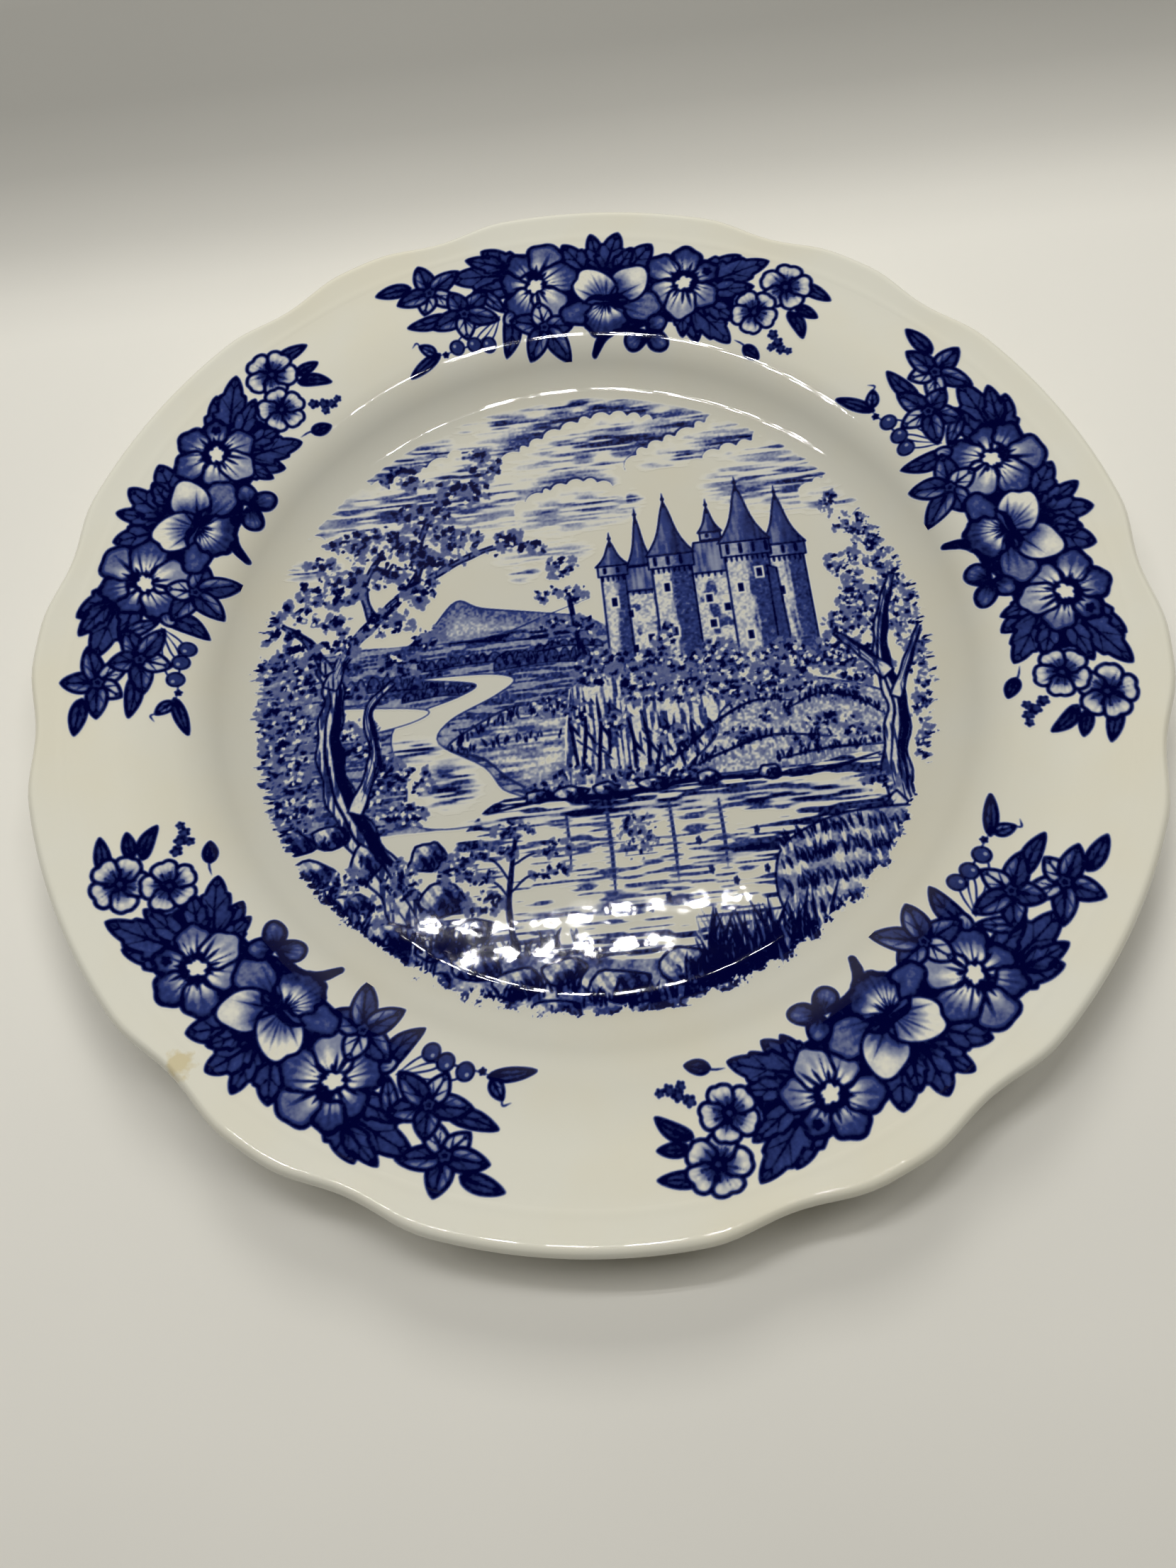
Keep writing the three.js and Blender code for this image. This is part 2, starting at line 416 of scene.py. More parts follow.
def bend(start, corner, end, steps):
    """Points along a bend that starts and ends on the two sides of a corner."""
    share = np.linspace(0, 1, steps + 1)[:, None]
    first = np.asarray(start) * (1 - share) + np.asarray(corner) * share
    last = np.asarray(corner) * (1 - share) + np.asarray(end) * share
    return first * (1 - share) + last * share


def below(chain, depth):
    """The same chain at a depth under the surface."""
    along = np.gradient(chain, axis=0)
    along /= np.linalg.norm(along, axis=1)[:, None]
    sunk = chain + depth * np.stack([along[:, 1], -along[:, 0]], -1)
    sunk[:, 0] = np.maximum(sunk[:, 0], 0)
    return sunk


def add_object(name, bm, material, mesh=None):
    """Makes a finished piece of a bmesh, which rides on the plate and takes a slot's finish."""
    mesh = mesh or bpy.data.meshes.new(name)
    bm.to_mesh(mesh)
    bm.free()
    mesh.materials.append(material)
    piece = bpy.data.objects.new(name, mesh)
    bpy.context.scene.collection.objects.link(piece)
    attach(piece, BODY)
    return piece


def spun(section, chain):
    """A bmesh of a closed chain spun round the plate's axis, with the notches drawn in.

    One pair of lobes is spun, and turned copies of it are joined on, which is quicker than a full spin.
    """
    sizes = section.sizes
    pair = 2 * math.pi / sizes.lobe_pairs
    bm = bmesh.new()
    ring = [bm.verts.new((radius, 0, height)) for radius, height in chain]
    sides = [bm.edges.new((ring[i - 1], ring[i])) for i in range(1, len(ring))]
    if chain[0][0] > 0 or chain[-1][0] > 0:
        sides.append(bm.edges.new((ring[-1], ring[0])))
    bmesh.ops.spin(
        bm, geom=ring + sides, cent=(0, 0, 0), axis=(0, 0, 1), dvec=(0, 0, 0),
        angle=pair, steps=sizes.turns // sizes.lobe_pairs, use_merge=False, use_duplicate=False,
    )
    sector = bm.verts[:] + bm.edges[:] + bm.faces[:]
    for number in range(1, sizes.lobe_pairs):
        copied = bmesh.ops.duplicate(bm, geom=sector)["geom"]
        moved = [item for item in copied if isinstance(item, bmesh.types.BMVert)]
        turned = Matrix.Rotation(number * pair, 3, "Z")
        bmesh.ops.rotate(bm, verts=moved, cent=(0, 0, 0), matrix=turned)
    bmesh.ops.remove_doubles(bm, verts=bm.verts, dist=1e-3)
    flat = np.array([vert.co for vert in bm.verts])
    radius = np.hypot(flat[:, 0], flat[:, 1])
    angle = np.arctan2(flat[:, 1], flat[:, 0])
    for vert, place in zip(bm.verts, section.placed(radius, angle, flat[:, 2])):
        vert.co = place
    bmesh.ops.recalc_face_normals(bm, faces=bm.faces)
    for face in bm.faces:
        face.smooth = True
    return bm


class Sheet:
    """An engraved sheet: how strongly ink lies at each point of a flat rectangle, in millimetres.

    Ink runs from 0, bare, over the soft and the even tone, to 1, the engraver's deep lines.
    """

    def __init__(self, half_width, half_height, pitch, seed):
        self.pitch = pitch
        self.x = np.arange(-half_width, half_width + pitch / 2, pitch)
        self.y = np.arange(-half_height, half_height + pitch / 2, pitch)
        self.ink = np.zeros((len(self.y), len(self.x)))
        self.random = np.random.default_rng(seed)
        self.grain = self.field(0.5, 0.5)
        self.blot = self.field(2.6, 2.2)
        self.level = self.field(5.0, 0.55)
        self.upright = self.field(0.6, 4.5)

    def field(self, cell_x, cell_y):
        """A smooth random field from 0 to 1, with cells of a size in millimetres."""
        columns = np.arange(len(self.x)) * self.pitch / cell_x
        rows = np.arange(len(self.y)) * self.pitch / cell_y
        coarse = self.random.random((int(rows[-1]) + 2, int(columns[-1]) + 2))
        left, low = columns.astype(int), rows.astype(int)
        across, up = smooth(columns - left), smooth(rows - low)[:, None]
        lower = coarse[low][:, left] * (1 - across) + coarse[low][:, left + 1] * across
        upper = coarse[low + 1][:, left] * (1 - across) + coarse[low + 1][:, left + 1] * across
        return lower * (1 - up) + upper * up

    def window(self, low, high):
        """The part of the sheet between two corners, and its places."""
        columns = slice(*np.searchsorted(self.x, (low[0], high[0])))
        rows = slice(*np.searchsorted(self.y, (low[1], high[1])))
        X, Y = np.meshgrid(self.x[columns], self.y[rows])
        return (rows, columns), X, Y

    def lay(self, part, share, tone):
        """Puts a tone over what is there, as far as share says at each point."""
        self.ink[part] += np.clip(share, 0, 1) * (tone - self.ink[part])

    def fill(self, outline, tone, edge=1.0, width=0.4):
        """Fills a closed outline with a tone, or a function of place and part, and draws its edge."""
        outline = np.asarray(outline, float)
        part, X, Y = self.window(outline.min(0) - 1, outline.max(0) + 1)
        if not X.size:
            return
        depth = depth_inside(outline, X, Y)
        shade = tone(X, Y, part, depth) if callable(tone) else tone
        self.lay(part, depth / self.pitch + 0.5, np.clip(shade, 0, 1))
        if edge is not None:
            self.lay(part, (width / 2 - np.abs(depth)) / self.pitch + 0.5, edge)

    def draw(self, points, width, tone=1.0, taper=(0.25, 0.25)):
        """Draws a stroke through points that thins towards both ends."""
        points = np.asarray(points, float)
        part, X, Y = self.window(points.min(0) - width - 1, points.max(0) + width + 1)
        if not X.size:
            return
        count = len(points) - 1
        best = np.full(X.shape, -1e9)
        for number in range(count):
            start, step = points[number], points[number + 1] - points[number]
            share = ((X - start[0]) * step[0] + (Y - start[1]) * step[1]) / max(step @ step, 1e-9)
            share = np.clip(share, 0, 1)
            away = np.hypot(X - start[0] - share * step[0], Y - start[1] - share * step[1])
            along = (number + share) / count
            swell = taper[0] + (1 - taper[0]) * np.minimum(along * 3, 1)
            swell = np.minimum(swell, taper[1] + (1 - taper[1]) * np.minimum((1 - along) * 3, 1))
            best = np.maximum(best, width / 2 * swell - away)
        self.lay(part, best / self.pitch + 0.5, tone)

    def wash(self, outline, tone):
        """Adds a tone inside a closed outline wherever it is darker than what is there."""
        outline = np.asarray(outline, float)
        part, X, Y = self.window(outline.min(0) - 1, outline.max(0) + 1)
        if not X.size:
            return
        depth = depth_inside(outline, X, Y)
        shade = tone(X, Y, part, depth) if callable(tone) else tone
        shade = np.clip(shade, 0, 1) * np.clip(depth / self.pitch + 0.5, 0, 1)
        self.ink[part] = np.maximum(self.ink[part], shade)

    def dab(self, x, y, size, tone, lobes=2.5, turn=0.0, squash=1.0):
        """A small scalloped mark."""
        part, X, Y = self.window((x - size - 1, y - size - 1), (x + size + 1, y + size + 1))
        if not X.size:
            return
        cos, sin = math.cos(turn), math.sin(turn)
        across, up = (X - x) * cos + (Y - y) * sin, ((Y - y) * cos - (X - x) * sin) / squash
        limit = size * (0.66 + 0.34 * np.abs(np.cos(lobes * np.arctan2(up, across))))
        self.lay(part, (limit - np.hypot(across, up)) / self.pitch + 0.5, tone)


def depth_inside(outline, X, Y):
    """How far each place is inside a closed outline, and below 0 outside it."""
    inside = np.zeros(X.shape, bool)
    nearest = np.full(X.shape, 1e9)
    for start, end in zip(outline, np.roll(outline, -1, 0)):
        step = end - start
        share = ((X - start[0]) * step[0] + (Y - start[1]) * step[1]) / max(step @ step, 1e-9)
        share = np.clip(share, 0, 1)
        away = (X - start[0] - share * step[0]) ** 2 + (Y - start[1] - share * step[1]) ** 2
        nearest = np.minimum(nearest, away)
        if step[1]:
            crossed = (start[1] > Y) != (end[1] > Y)
            inside ^= crossed & (X < start[0] + (Y - start[1]) * step[0] / step[1])
    return np.where(inside, 1, -1) * np.sqrt(nearest)


def soften(sheet, passes):
    """Lets the ink flow a little, as it does under a glaze in the kiln."""
    for _ in range(passes):
        ink = np.pad(sheet.ink, 1, mode="edge")
        near = ink[:-2, 1:-1] + ink[2:, 1:-1] + ink[1:-1, :-2] + ink[1:-1, 2:]
        sheet.ink = 0.6 * sheet.ink + 0.1 * near


def spline(points, steps=6, closed=False):
    """A smooth curve through points."""
    points = np.asarray(points, float)
    if closed:
        ring = np.concatenate([points[-1:], points, points[:2]])
    else:
        ring = np.concatenate([2 * points[:1] - points[1:2], points, 2 * points[-1:] - points[-2:-1]])
    share = np.linspace(0, 1, steps, endpoint=False)[:, None]
    spans = []
    for a, b, c, d in zip(ring[:-3], ring[1:-2], ring[2:-1], ring[3:]):
        spans.append(b + 0.5 * share * (c - a + share * (
            2 * a - 5 * b + 4 * c - d + share * (3 * (b - c) + d - a))))
    if not closed:
        spans.append(points[-1:])
    return np.concatenate(spans)


def scallops(points, bump, depth, random):
    """A line with round bumps along its left side."""
    points = np.asarray(points, float)
    lengths = np.hypot(*np.diff(points, axis=0).T)
    along = np.concatenate([[0], np.cumsum(lengths)])
    count = max(int(along[-1] / bump), 1)
    stops = np.linspace(0, along[-1], count + 1)
    stops[1:-1] += random.uniform(-0.25, 0.25, count - 1) * bump
    result = []
    for start, end in zip(stops[:-1], stops[1:]):
        for share in np.linspace(0, 1, 6, endpoint=False):
            place = start + share * (end - start)
            at = np.array([np.interp(place, along, points[:, axis]) for axis in (0, 1)])
            ahead = np.array([np.interp(place + 0.1, along, points[:, axis]) for axis in (0, 1)])
            way = ahead - at
            way /= max(np.hypot(*way), 1e-9)
            rise = depth * math.sin(math.pi * share) ** 0.7
            result.append(at + rise * np.array((-way[1], way[0])))
    return np.array(result + [points[-1]])


# The flower spray. Its sheet runs clockwise round the flange in x, and out to the edge in y.

def leaf(sheet, base, tip, width, teeth=0, bow=0.0, tone=EVEN, light=0.0, veins=3):
    """A leaf with a dark rib and veins, toothed or plain, with one side paler."""
    base, tip = np.asarray(base, float), np.asarray(tip, float)
    span = tip - base
    length = math.hypot(*span)
    way = span / length
    side = np.array((-way[1], way[0]))
    share = np.linspace(0, 1, 14 + 6 * teeth)
    half = width / 2 * np.sin(np.pi * share ** 0.8) ** 0.75
    if teeth:
        half *= 0.78 + 0.42 * (share * teeth % 1) * (1 - 0.5 * share)
    rib = base + span * share[:, None] + side * (bow * np.sin(np.pi * share))[:, None]
    outline = np.concatenate([rib + side * half[:, None], (rib - side * half[:, None])[::-1]])

    def shade(X, Y, part, depth):
        along = ((X - base[0]) * way[0] + (Y - base[1]) * way[1]) / length
        arch = bow * np.sin(np.pi * np.clip(along, 0, 1))
        across = (X - base[0]) * side[0] + (Y - base[1]) * side[1] - arch
        phase = along * veins - np.abs(across) / width * 1.9
        spacing = length / veins
        vein = np.abs(phase % 1 - 0.5) * spacing
        tones = tone - light * smooth(across / width * 3) + 0.12 * (sheet.grain[part] - 0.5)
        tones -= 0.05 * smooth((vein - 0.25 * spacing) / (0.2 * spacing)) * smooth(depth / 0.8)
        tones += 0.34 * smooth(1 - along * 2.6) + 0.2 * smooth(1 - depth / 0.8)
        slim = 0.46 * (1 - 1.5 * np.abs(across) / width)
        dark = np.maximum(slim - vein, 0.62 - 0.45 * along - np.abs(across))
        return tones + (1 - tones) * np.clip(dark / 0.16, 0, 1)

    sheet.fill(outline, shade, width=0.8)


def petal(sheet, centre, radii, turn, throat, inner, outer, waves=(0, 0.0), streaks=0.5, heart=0.0):
    """A petal: a wavy round outline, shaded along lines that run out from the throat."""
    angle = np.linspace(0, 2 * np.pi, 40, endpoint=False)
    reach = 1 + waves[1] * np.cos(waves[0] * angle) + 0.045 * np.cos(3 * angle + centre[0] + 2 * centre[1])
    reach -= heart * np.exp(-((np.minimum(angle, 2 * np.pi - angle) / 0.4) ** 2))
    across, up = radii[0] * reach * np.cos(angle), radii[1] * reach * np.sin(angle)
    turn = math.radians(turn)
    cos, sin = math.cos(turn), math.sin(turn)
    outline = np.stack([centre[0] + across * cos - up * sin, centre[1] + across * sin + up * cos], -1)
    far = max(np.hypot(*(outline - throat).T))

    def shade(X, Y, part, depth):
        away = np.hypot(X - throat[0], Y - throat[1]) / far
        round_it = np.arctan2(Y - throat[1], X - throat[0])
        turns = round_it * 3.3 + 0.7 * np.sin(round_it * 3)
        ray = np.abs(turns % 1 - 0.5) * 2
        streak_end = 0.62 + 0.3 * np.sin(np.floor(turns) * 2.4 + centre[0])
        tones = inner + (outer - inner) * smooth((away - 0.3) / 0.45)
        tones = tones + 0.5 * streaks * (0.5 - ray) * smooth(1.25 - away * 1.1)
        tones = tones + 0.4 * smooth(1 - depth / 1.3) * (outer > 0.3) + 0.12 * (sheet.grain[part] - 0.5)
        point = streaks * (1 - away / streak_end) - ray
        return tones + (1 - tones) * np.clip(point / 0.2, 0, 1)

    sheet.fill(outline, shade, width=0.8)


def star_flower(sheet, centre, tips, width, pale=()):
    """A flower of pointed petals, with a ring at its heart."""
    for number, tip in enumerate(tips):
        faint = number in pale
        leaf(
            sheet, centre, tip, width, tone=0.2 if faint else 0.76, light=0.0 if faint else 0.34,
            veins=2,
        )
    sheet.dab(*centre, 1.9, 1.0)
    sheet.dab(*centre, 1.2, EVEN)
    sheet.dab(*centre, 0.7, 1.0)


def blossom(sheet, centre, size, turn):
    """A small flower of five round petals, pale with dark edges and stamens."""
    centre = np.asarray(centre, float)
    for number in range(5):
        angle = math.radians(turn + 72 * number)
        way = np.array((math.cos(angle), math.sin(angle)))
        petal(
            sheet, centre + 0.6 * size * way, (0.46 * size, 0.43 * size), math.degrees(angle),
            centre, 0.8, 0.12, waves=(5, 0.06), streaks=0.6, heart=0.34,
        )
    for number in range(10):
        angle = math.radians(turn + 36 * number + 18)
        way = np.array((math.cos(angle), math.sin(angle)))
        sheet.draw([centre + 0.2 * size * way, centre + 0.5 * size * way], 0.28)
        sheet.dab(*(centre + 0.5 * size * way), 0.32, 1.0)
    sheet.dab(*centre, 0.24 * size, 1.0)
    sheet.dab(*centre, 0.1 * size, EVEN)


def berry(sheet, x, y, size):
    """A berry with a small light."""
    sheet.dab(x, y, size + 0.3, 1.0, lobes=0)
    sheet.dab(x, y, size - 0.25, EVEN, lobes=0)
    sheet.dab(x - 0.3 * size, y + 0.3 * size, 0.25 * size, 0.3, lobes=0)


def centre_pansy(sheet):
    """The large pansy: two pale upper petals, two wings, and a dark frilled lip with a spur."""
    throat = (2.6, -2.8)
    sheet.draw(spline([(4.5, -10.5), (1.6, -13.0), (-0.3, -16.2)]), 2.7, taper=(1, 0.7))
    petal(sheet, (-4.4, -5.4), (5.6, 3.6), 10, throat, 0.75, 0.62, (5, 0.05))
    petal(sheet, (12.0, -3.2), (5.6, 4.6), -8, throat, 0.8, 0.5, (6, 0.05))
    petal(sheet, (8.6, 2.6), (5.6, 4.7), 60, throat, 0.85, 0.08, (4, 0.04), 0.6)
    petal(sheet, (-0.6, 1.6), (6.4, 4.9), 150, throat, 0.62, 0.02, (3, 0.04), 0.6, 0.2)
    petal(sheet, (2.8, -7.6), (6.2, 4.6), 0, throat, 0.05, 0.8, (9, 0.05), 0.7)
    sheet.draw(spline([(-3.6, -3.0), (-0.8, -1.4), (2.6, -1.6), (6.2, -1.0), (9.0, -2.2)]), 1.9)
    for number in range(9):
        angle = math.radians(-160 + 17 * number)
        way = np.array((math.cos(angle), 0.8 * math.sin(angle)))
        reach = 3.2 + 1.3 * (number % 2)
        sheet.draw([throat + 1.0 * way, throat + reach * way], 0.42, taper=(1, 0.2))


def mallow(sheet, throat, petals):
    """A flower seen a little from the side, with streaked petals that pale towards its heart."""
    for x, y, size, tone in petals:
        turn = math.degrees(math.atan2(y - throat[1], x - throat[0]))
        petal(sheet, (x, y), (size, 0.94 * size), turn, throat, 0.02, tone, (5, 0.08), 0.7, 0.12)
    sheet.dab(*throat, 2.3, 0.0, lobes=2.5, turn=0.7, squash=0.8)
    for number in range(11):
        angle = math.radians(14 + 33 * number)
        way = np.array((math.cos(angle), math.sin(angle)))
        near, far = 1.7 + 0.5 * (number % 2), 3.6 + 1.2 * (number % 3)
        sheet.draw([throat + near * way, throat + far * way], 0.75, taper=(0.5, 0.2))


def draw_spray(sheet):
    """A spray of pansies, star flowers and blossoms, with toothed leaves and berries."""
    # The spray's deep shade, and the leaves behind its flowers.
    shade = (
        (-27, 8), (-20, 10), (-12, 6), (-6, 9), (0, 11), (8, 10), (14, 8), (20, 9), (28, 9), (35, 5),
        (36, -3), (30, -7), (20, -7), (14, -9), (8, -11), (-2, -9), (-8, -7), (-18, -7), (-26, -6),
        (-22, 0), (-28, 3),
    )
    sheet.fill(spline(shade, 4, closed=True), 1.0)
    for base, tip, width, teeth in (
        ((-20, 7), (-36, 10), 8.5, 3), ((-19, 8), (-27, 15.6), 6.0, 2), ((-20, 4), (-32, 4.5), 5.0, 2),
        ((-22, 9.5), (-31, 14.2), 4.6, 2),
        ((-2, 5), (-8, 13.8), 6.5, 3), ((1, 6), (-1.4, 16.2), 5.0, 3), ((2, 6), (4.8, 16.6), 6.5, 3),
        ((7, 5), (12.8, 13.8), 7.5, 3), ((5, 6), (8.4, 12.6), 4.4, 2),
        ((25, 4), (34, 14.4), 7.0, 3), ((26, 3), (40.6, 14.8), 8.0, 4), ((27, 2), (39.5, 7.0), 5.6, 3),
        ((24, -2), (30, -11), 6.5, 3), ((24, -1), (39, -9.4), 8.0, 4), ((23, -1), (25.5, -10.5), 5.0, 3),
        ((28, 0), (38, -3), 5.4, 3),
    ):
        leaf(sheet, base, tip, width, teeth, light=0.1)
    # The sprig with berries at the far left, towards the well.
    stem = spline([(-47, -9.2), (-40, -9.4), (-33, -8.6), (-27, -4)])
    sheet.draw(stem, 0.45)
    for x, y in ((-40.6, -8.7), (-35.6, -9.4), (-31.6, -10.4)):
        sheet.draw(spline([(x, y), (x + 2.6, y + 2.6), (-26.5, -3.5)]), 0.4)
        berry(sheet, x, y, 1.9)
    sheet.dab(-44.4, -9.6, 1.0, 1.0)
    leaf(sheet, (-46, -8.8), (-56.4, -11.6), 2.6, tone=0.72, veins=2)
    leaf(sheet, (-47, -8.4), (-50.2, -4.8), 2.8, tone=0.5, light=0.3, veins=2)
    sheet.draw(spline([(-50, -5), (-50.6, -3.6), (-52.2, -4.4)]), 0.4)
    # Leaves and star flowers on the left.
    leaf(sheet, (-46, 11.5), (-54, 12.9), 3.4, veins=2)
    leaf(sheet, (-40, 0.5), (-50.6, 1.2), 3.6, bow=0.6, veins=3)
    leaf(sheet, (-30, 5), (-25, -2.5), 3.4, veins=3, tone=0.5)
    leaf(sheet, (-23.6, -3.5), (-27.4, -14.4), 4.8, bow=1.2, tone=0.8, veins=3)
    leaf(sheet, (-25, -4), (-20.4, -6.4), 3.0, veins=2)
    star_flower(
        sheet, (-42, 8.4),
        ((-42.3, 16.4), (-33.8, 11.8), (-36, 2.2), (-45.4, 3.0), (-50.4, 8.2)), 4.6, (2, 3),
    )
    star_flower(
        sheet, (-35.6, -0.2),
        ((-28.4, 4.2), (-37.4, 6.6), (-44.6, -1.8), (-37, -7.4), (-27, -4.2)), 5.0, (3,),
    )
    # The row of flowers.
    mallow(sheet, (22.4, 4.2), (
        (28.2, 1.6, 3.9, 0.5), (27.2, 8.2, 3.2, 0.72), (21.8, 10.6, 3.7, 0.66), (16.4, 7.4, 4.1, 0.62),
        (17.6, 0.8, 3.8, 0.4), (22.8, -2.0, 4.4, 0.3),
    ))
    sheet.dab(27.4, 8.4, 1.3, 1.0)
    mallow(sheet, (-15.8, 3.2), (
        (-21.0, 5.2, 3.6, 0.66), (-19.0, 9.6, 3.4, 0.7), (-12.6, 10.6, 4.4, 0.5), (-9.2, 4.6, 4.8, 0.62),
        (-20.2, -1.4, 4.3, 0.66), (-12.4, -2.2, 4.9, 0.34),
    ))
    petal(sheet, (-24, -4.6), (2.0, 1.6), 60, (-22, -3), 0.6, 0.3)
    star_flower(
        sheet, (-14.8, -8.6),
        ((-24.0, -5.4), (-15.8, -1.6), (-6.6, -8.8), (-8.0, -17.4), (-20.4, -16.2)), 5.6, (1,),
    )
    centre_pansy(sheet)
    for middle, radii, turn in (
        ((17.2, -8.2), (3.0, 2.6), 50), ((12.0, -12.6), (3.4, 2.4), 20),
        ((18.4, -12.4), (3.2, 2.3), -20),
    ):
        petal(sheet, middle, radii, turn, (14.6, -10.6), 0.9, 0.55)
    # Blossoms, small leaves and buds on the right.
    leaf(sheet, (50, 11.4), (58, 10.4), 3.0, veins=2)
    leaf(sheet, (51.5, 5.4), (57.4, 4.8), 2.6, tone=0.8, veins=2)
    leaf(sheet, (50.5, 3.2), (57, -1.6), 3.0, bow=0.7, tone=0.85, veins=2)
    sheet.draw(spline([(40, 5), (43, 4.5), (50, 4), (52, 3)]), 0.5)
    blossom(sheet, (47, 9.4), 6.4, 100)
    blossom(sheet, (42.2, 0.4), 6.2, 65)
    for x, y, size in (
        (49.4, -3.8, 1.5), (51.6, -5.4, 1.6), (53.4, -6.8, 1.4), (50.6, -7.2, 1.2), (55.4, -6.4, 1.1),
    ):
        sheet.dab(x, y, size, 0.95)
        sheet.dab(x - 0.2, y + 0.2, 0.45 * size, EVEN)
    sheet.draw(spline([(40, -8.4), (42.5, -8.8), (44.6, -9.6)]), 0.4)
    leaf(sheet, (43.4, -9.4), (48.6, -11), 2.8, tone=0.85, veins=2)
    soften(sheet, 2)


# The landscape. Its sheet lies on the well with x to the right and y away from the table's near edge.

def stipple(sheet, level, spread=0.5):
    """A tone broken up into grains."""
    return lambda X, Y, part, depth: level + spread * (sheet.grain[part] - 0.5)


def mottle(sheet, field, level, spread):
    """A tone that varies with one of the sheet's fields, and is broken up into grains."""
    def tone(X, Y, part, depth):
        return level + spread * (field[part] - 0.5) + 0.4 * (sheet.grain[part] - 0.5)

    return tone


def ellipse(middle, radii, steps=24):
    """Points round an ellipse."""
    angle = np.linspace(0, 2 * np.pi, steps, endpoint=False)
    return np.stack([middle[0] + radii[0] * np.cos(angle), middle[1] + radii[1] * np.sin(angle)], -1)


def cloud(sheet, points, reach, strength=0.85, bump=4.2, depth=1.3):
    """A cloud's scalloped top, with the sky shaded behind it."""
    top = spline(points)
    edge = scallops(top, bump, depth, sheet.random)

    def shade(X, Y, part, inner):
        away = np.full(X.shape, 1e9)
        for x, y in edge[::2]:
            away = np.minimum(away, np.hypot(X - x, (Y - y) * 0.9))
        fade = strength * (1 - smooth(away / reach)) ** 1.3
        fade *= smooth((X - top[0, 0]) / 7) * smooth((top[-1, 0] - X) / 7)
        return fade * (0.7 + 1.1 * (sheet.level[part] - 0.5) + 0.5 * (sheet.grain[part] - 0.5))

    def clear(X, Y, part, inner):
        away = np.full(X.shape, 1e9)
        for x, y in edge[::2]:
            away = np.minimum(away, np.hypot(X - x, Y - y))
        return sheet.ink[part] * smooth(away / 6 - 0.15)

    sheet.fill(np.concatenate([edge, (top - (0, 6.5))[::-1]]), clear, None)
    sheet.wash(np.concatenate([edge, (top + (0, reach))[::-1]]), shade)
    sheet.draw(edge[6:-6], 0.55, 0.9, taper=(0.1, 0.1))


def haze(sheet, middle, radii, strength):
    """A streaky patch of sky."""
    def shade(X, Y, part, depth):
        fade = smooth(depth / min(radii))
        return strength * fade * (0.15 + 1.5 * smooth((sheet.level[part] - 0.3) / 0.5)) * (
            0.7 + 0.6 * sheet.grain[part])

    sheet.wash(ellipse(middle, radii), shade)


def foliage(sheet, middle, radii, size=1.5, density=1.0, gaps=0.4, dark=1.0):
    """A clump of leaves: an even mass, dark leaves in its shade, and a few that catch the light."""
    pick = sheet.random
    area = radii[0] * radii[1] * density / size ** 2
    for share, tone, scale, spread in (
        (1.6, SOFT, 1.0, 1.0), (1.0 * dark, 1.0, 0.72, 0.85), (gaps, 0.0, 0.5, 0.95),
        (0.8, SOFT, 0.45, 1.18), (0.5 * dark, 1.0, 0.4, 1.0),
    ):
        for _ in range(int(area * share) + 1):
            angle = pick.uniform(0, 2 * math.pi)
            reach = spread * math.sqrt(pick.uniform(0, 1))
            x = middle[0] + radii[0] * reach * math.cos(angle)
            y = middle[1] + radii[1] * reach * math.sin(angle)
            sheet.dab(
                x, y, size * scale * pick.uniform(0.7, 1.25), tone, lobes=pick.choice((1.5, 2, 2.5)),
                turn=pick.uniform(0, 6.3), squash=pick.uniform(0.45, 0.9),
            )


def trunk(sheet, points, start, end, tone=0.1):
    """A trunk or a bough that narrows from start to end, lit on its left."""
    course = spline(points, 8)
    way = np.gradient(course, axis=0)
    way /= np.hypot(*way.T)[:, None]
    side = np.stack([way[:, 1], -way[:, 0]], -1)
    half = np.linspace(start, end, len(course))[:, None] / 2
    half *= 1 + 0.16 * np.sin(np.arange(len(course)) * 1.1)[:, None]

    def shade(X, Y, part, depth):
        return tone + 0.7 * smooth((sheet.upright[part] - 0.55) / 0.2) + 0.2 * (sheet.grain[part] - 0.5)

    sheet.fill(np.concatenate([course + side * half, (course - side * half)[::-1]]), shade, width=0.55)
    if start > 2:
        for share, width in ((0.62, 1.1), (0.25, 0.5), (-0.35, 0.4)):
            cut = slice(int(2 + 3 * abs(share)), len(course) - 3)
            sheet.draw((course + side * half * share)[cut], width * start / 4.5)


def tufts(sheet, points, count, height, width=0.5, tone=1.0, lean=0.0, fan=0.5):
    """Blades of grass along a line."""
    course = spline(points, 12)
    for _ in range(count):
        x, y = course[sheet.random.integers(len(course))] + sheet.random.uniform(-0.8, 0.8, 2)
        tall = height * sheet.random.uniform(0.5, 1.15)
        tilt = tall * (lean + fan * sheet.random.uniform(-1, 1))
        bow = 0.35 * tilt
        sheet.draw(
            [(x, y), (x + 0.5 * tilt - 0.5 * bow, y + 0.55 * tall), (x + tilt, y + tall)],
            width, tone, taper=(1, 0.15),
        )


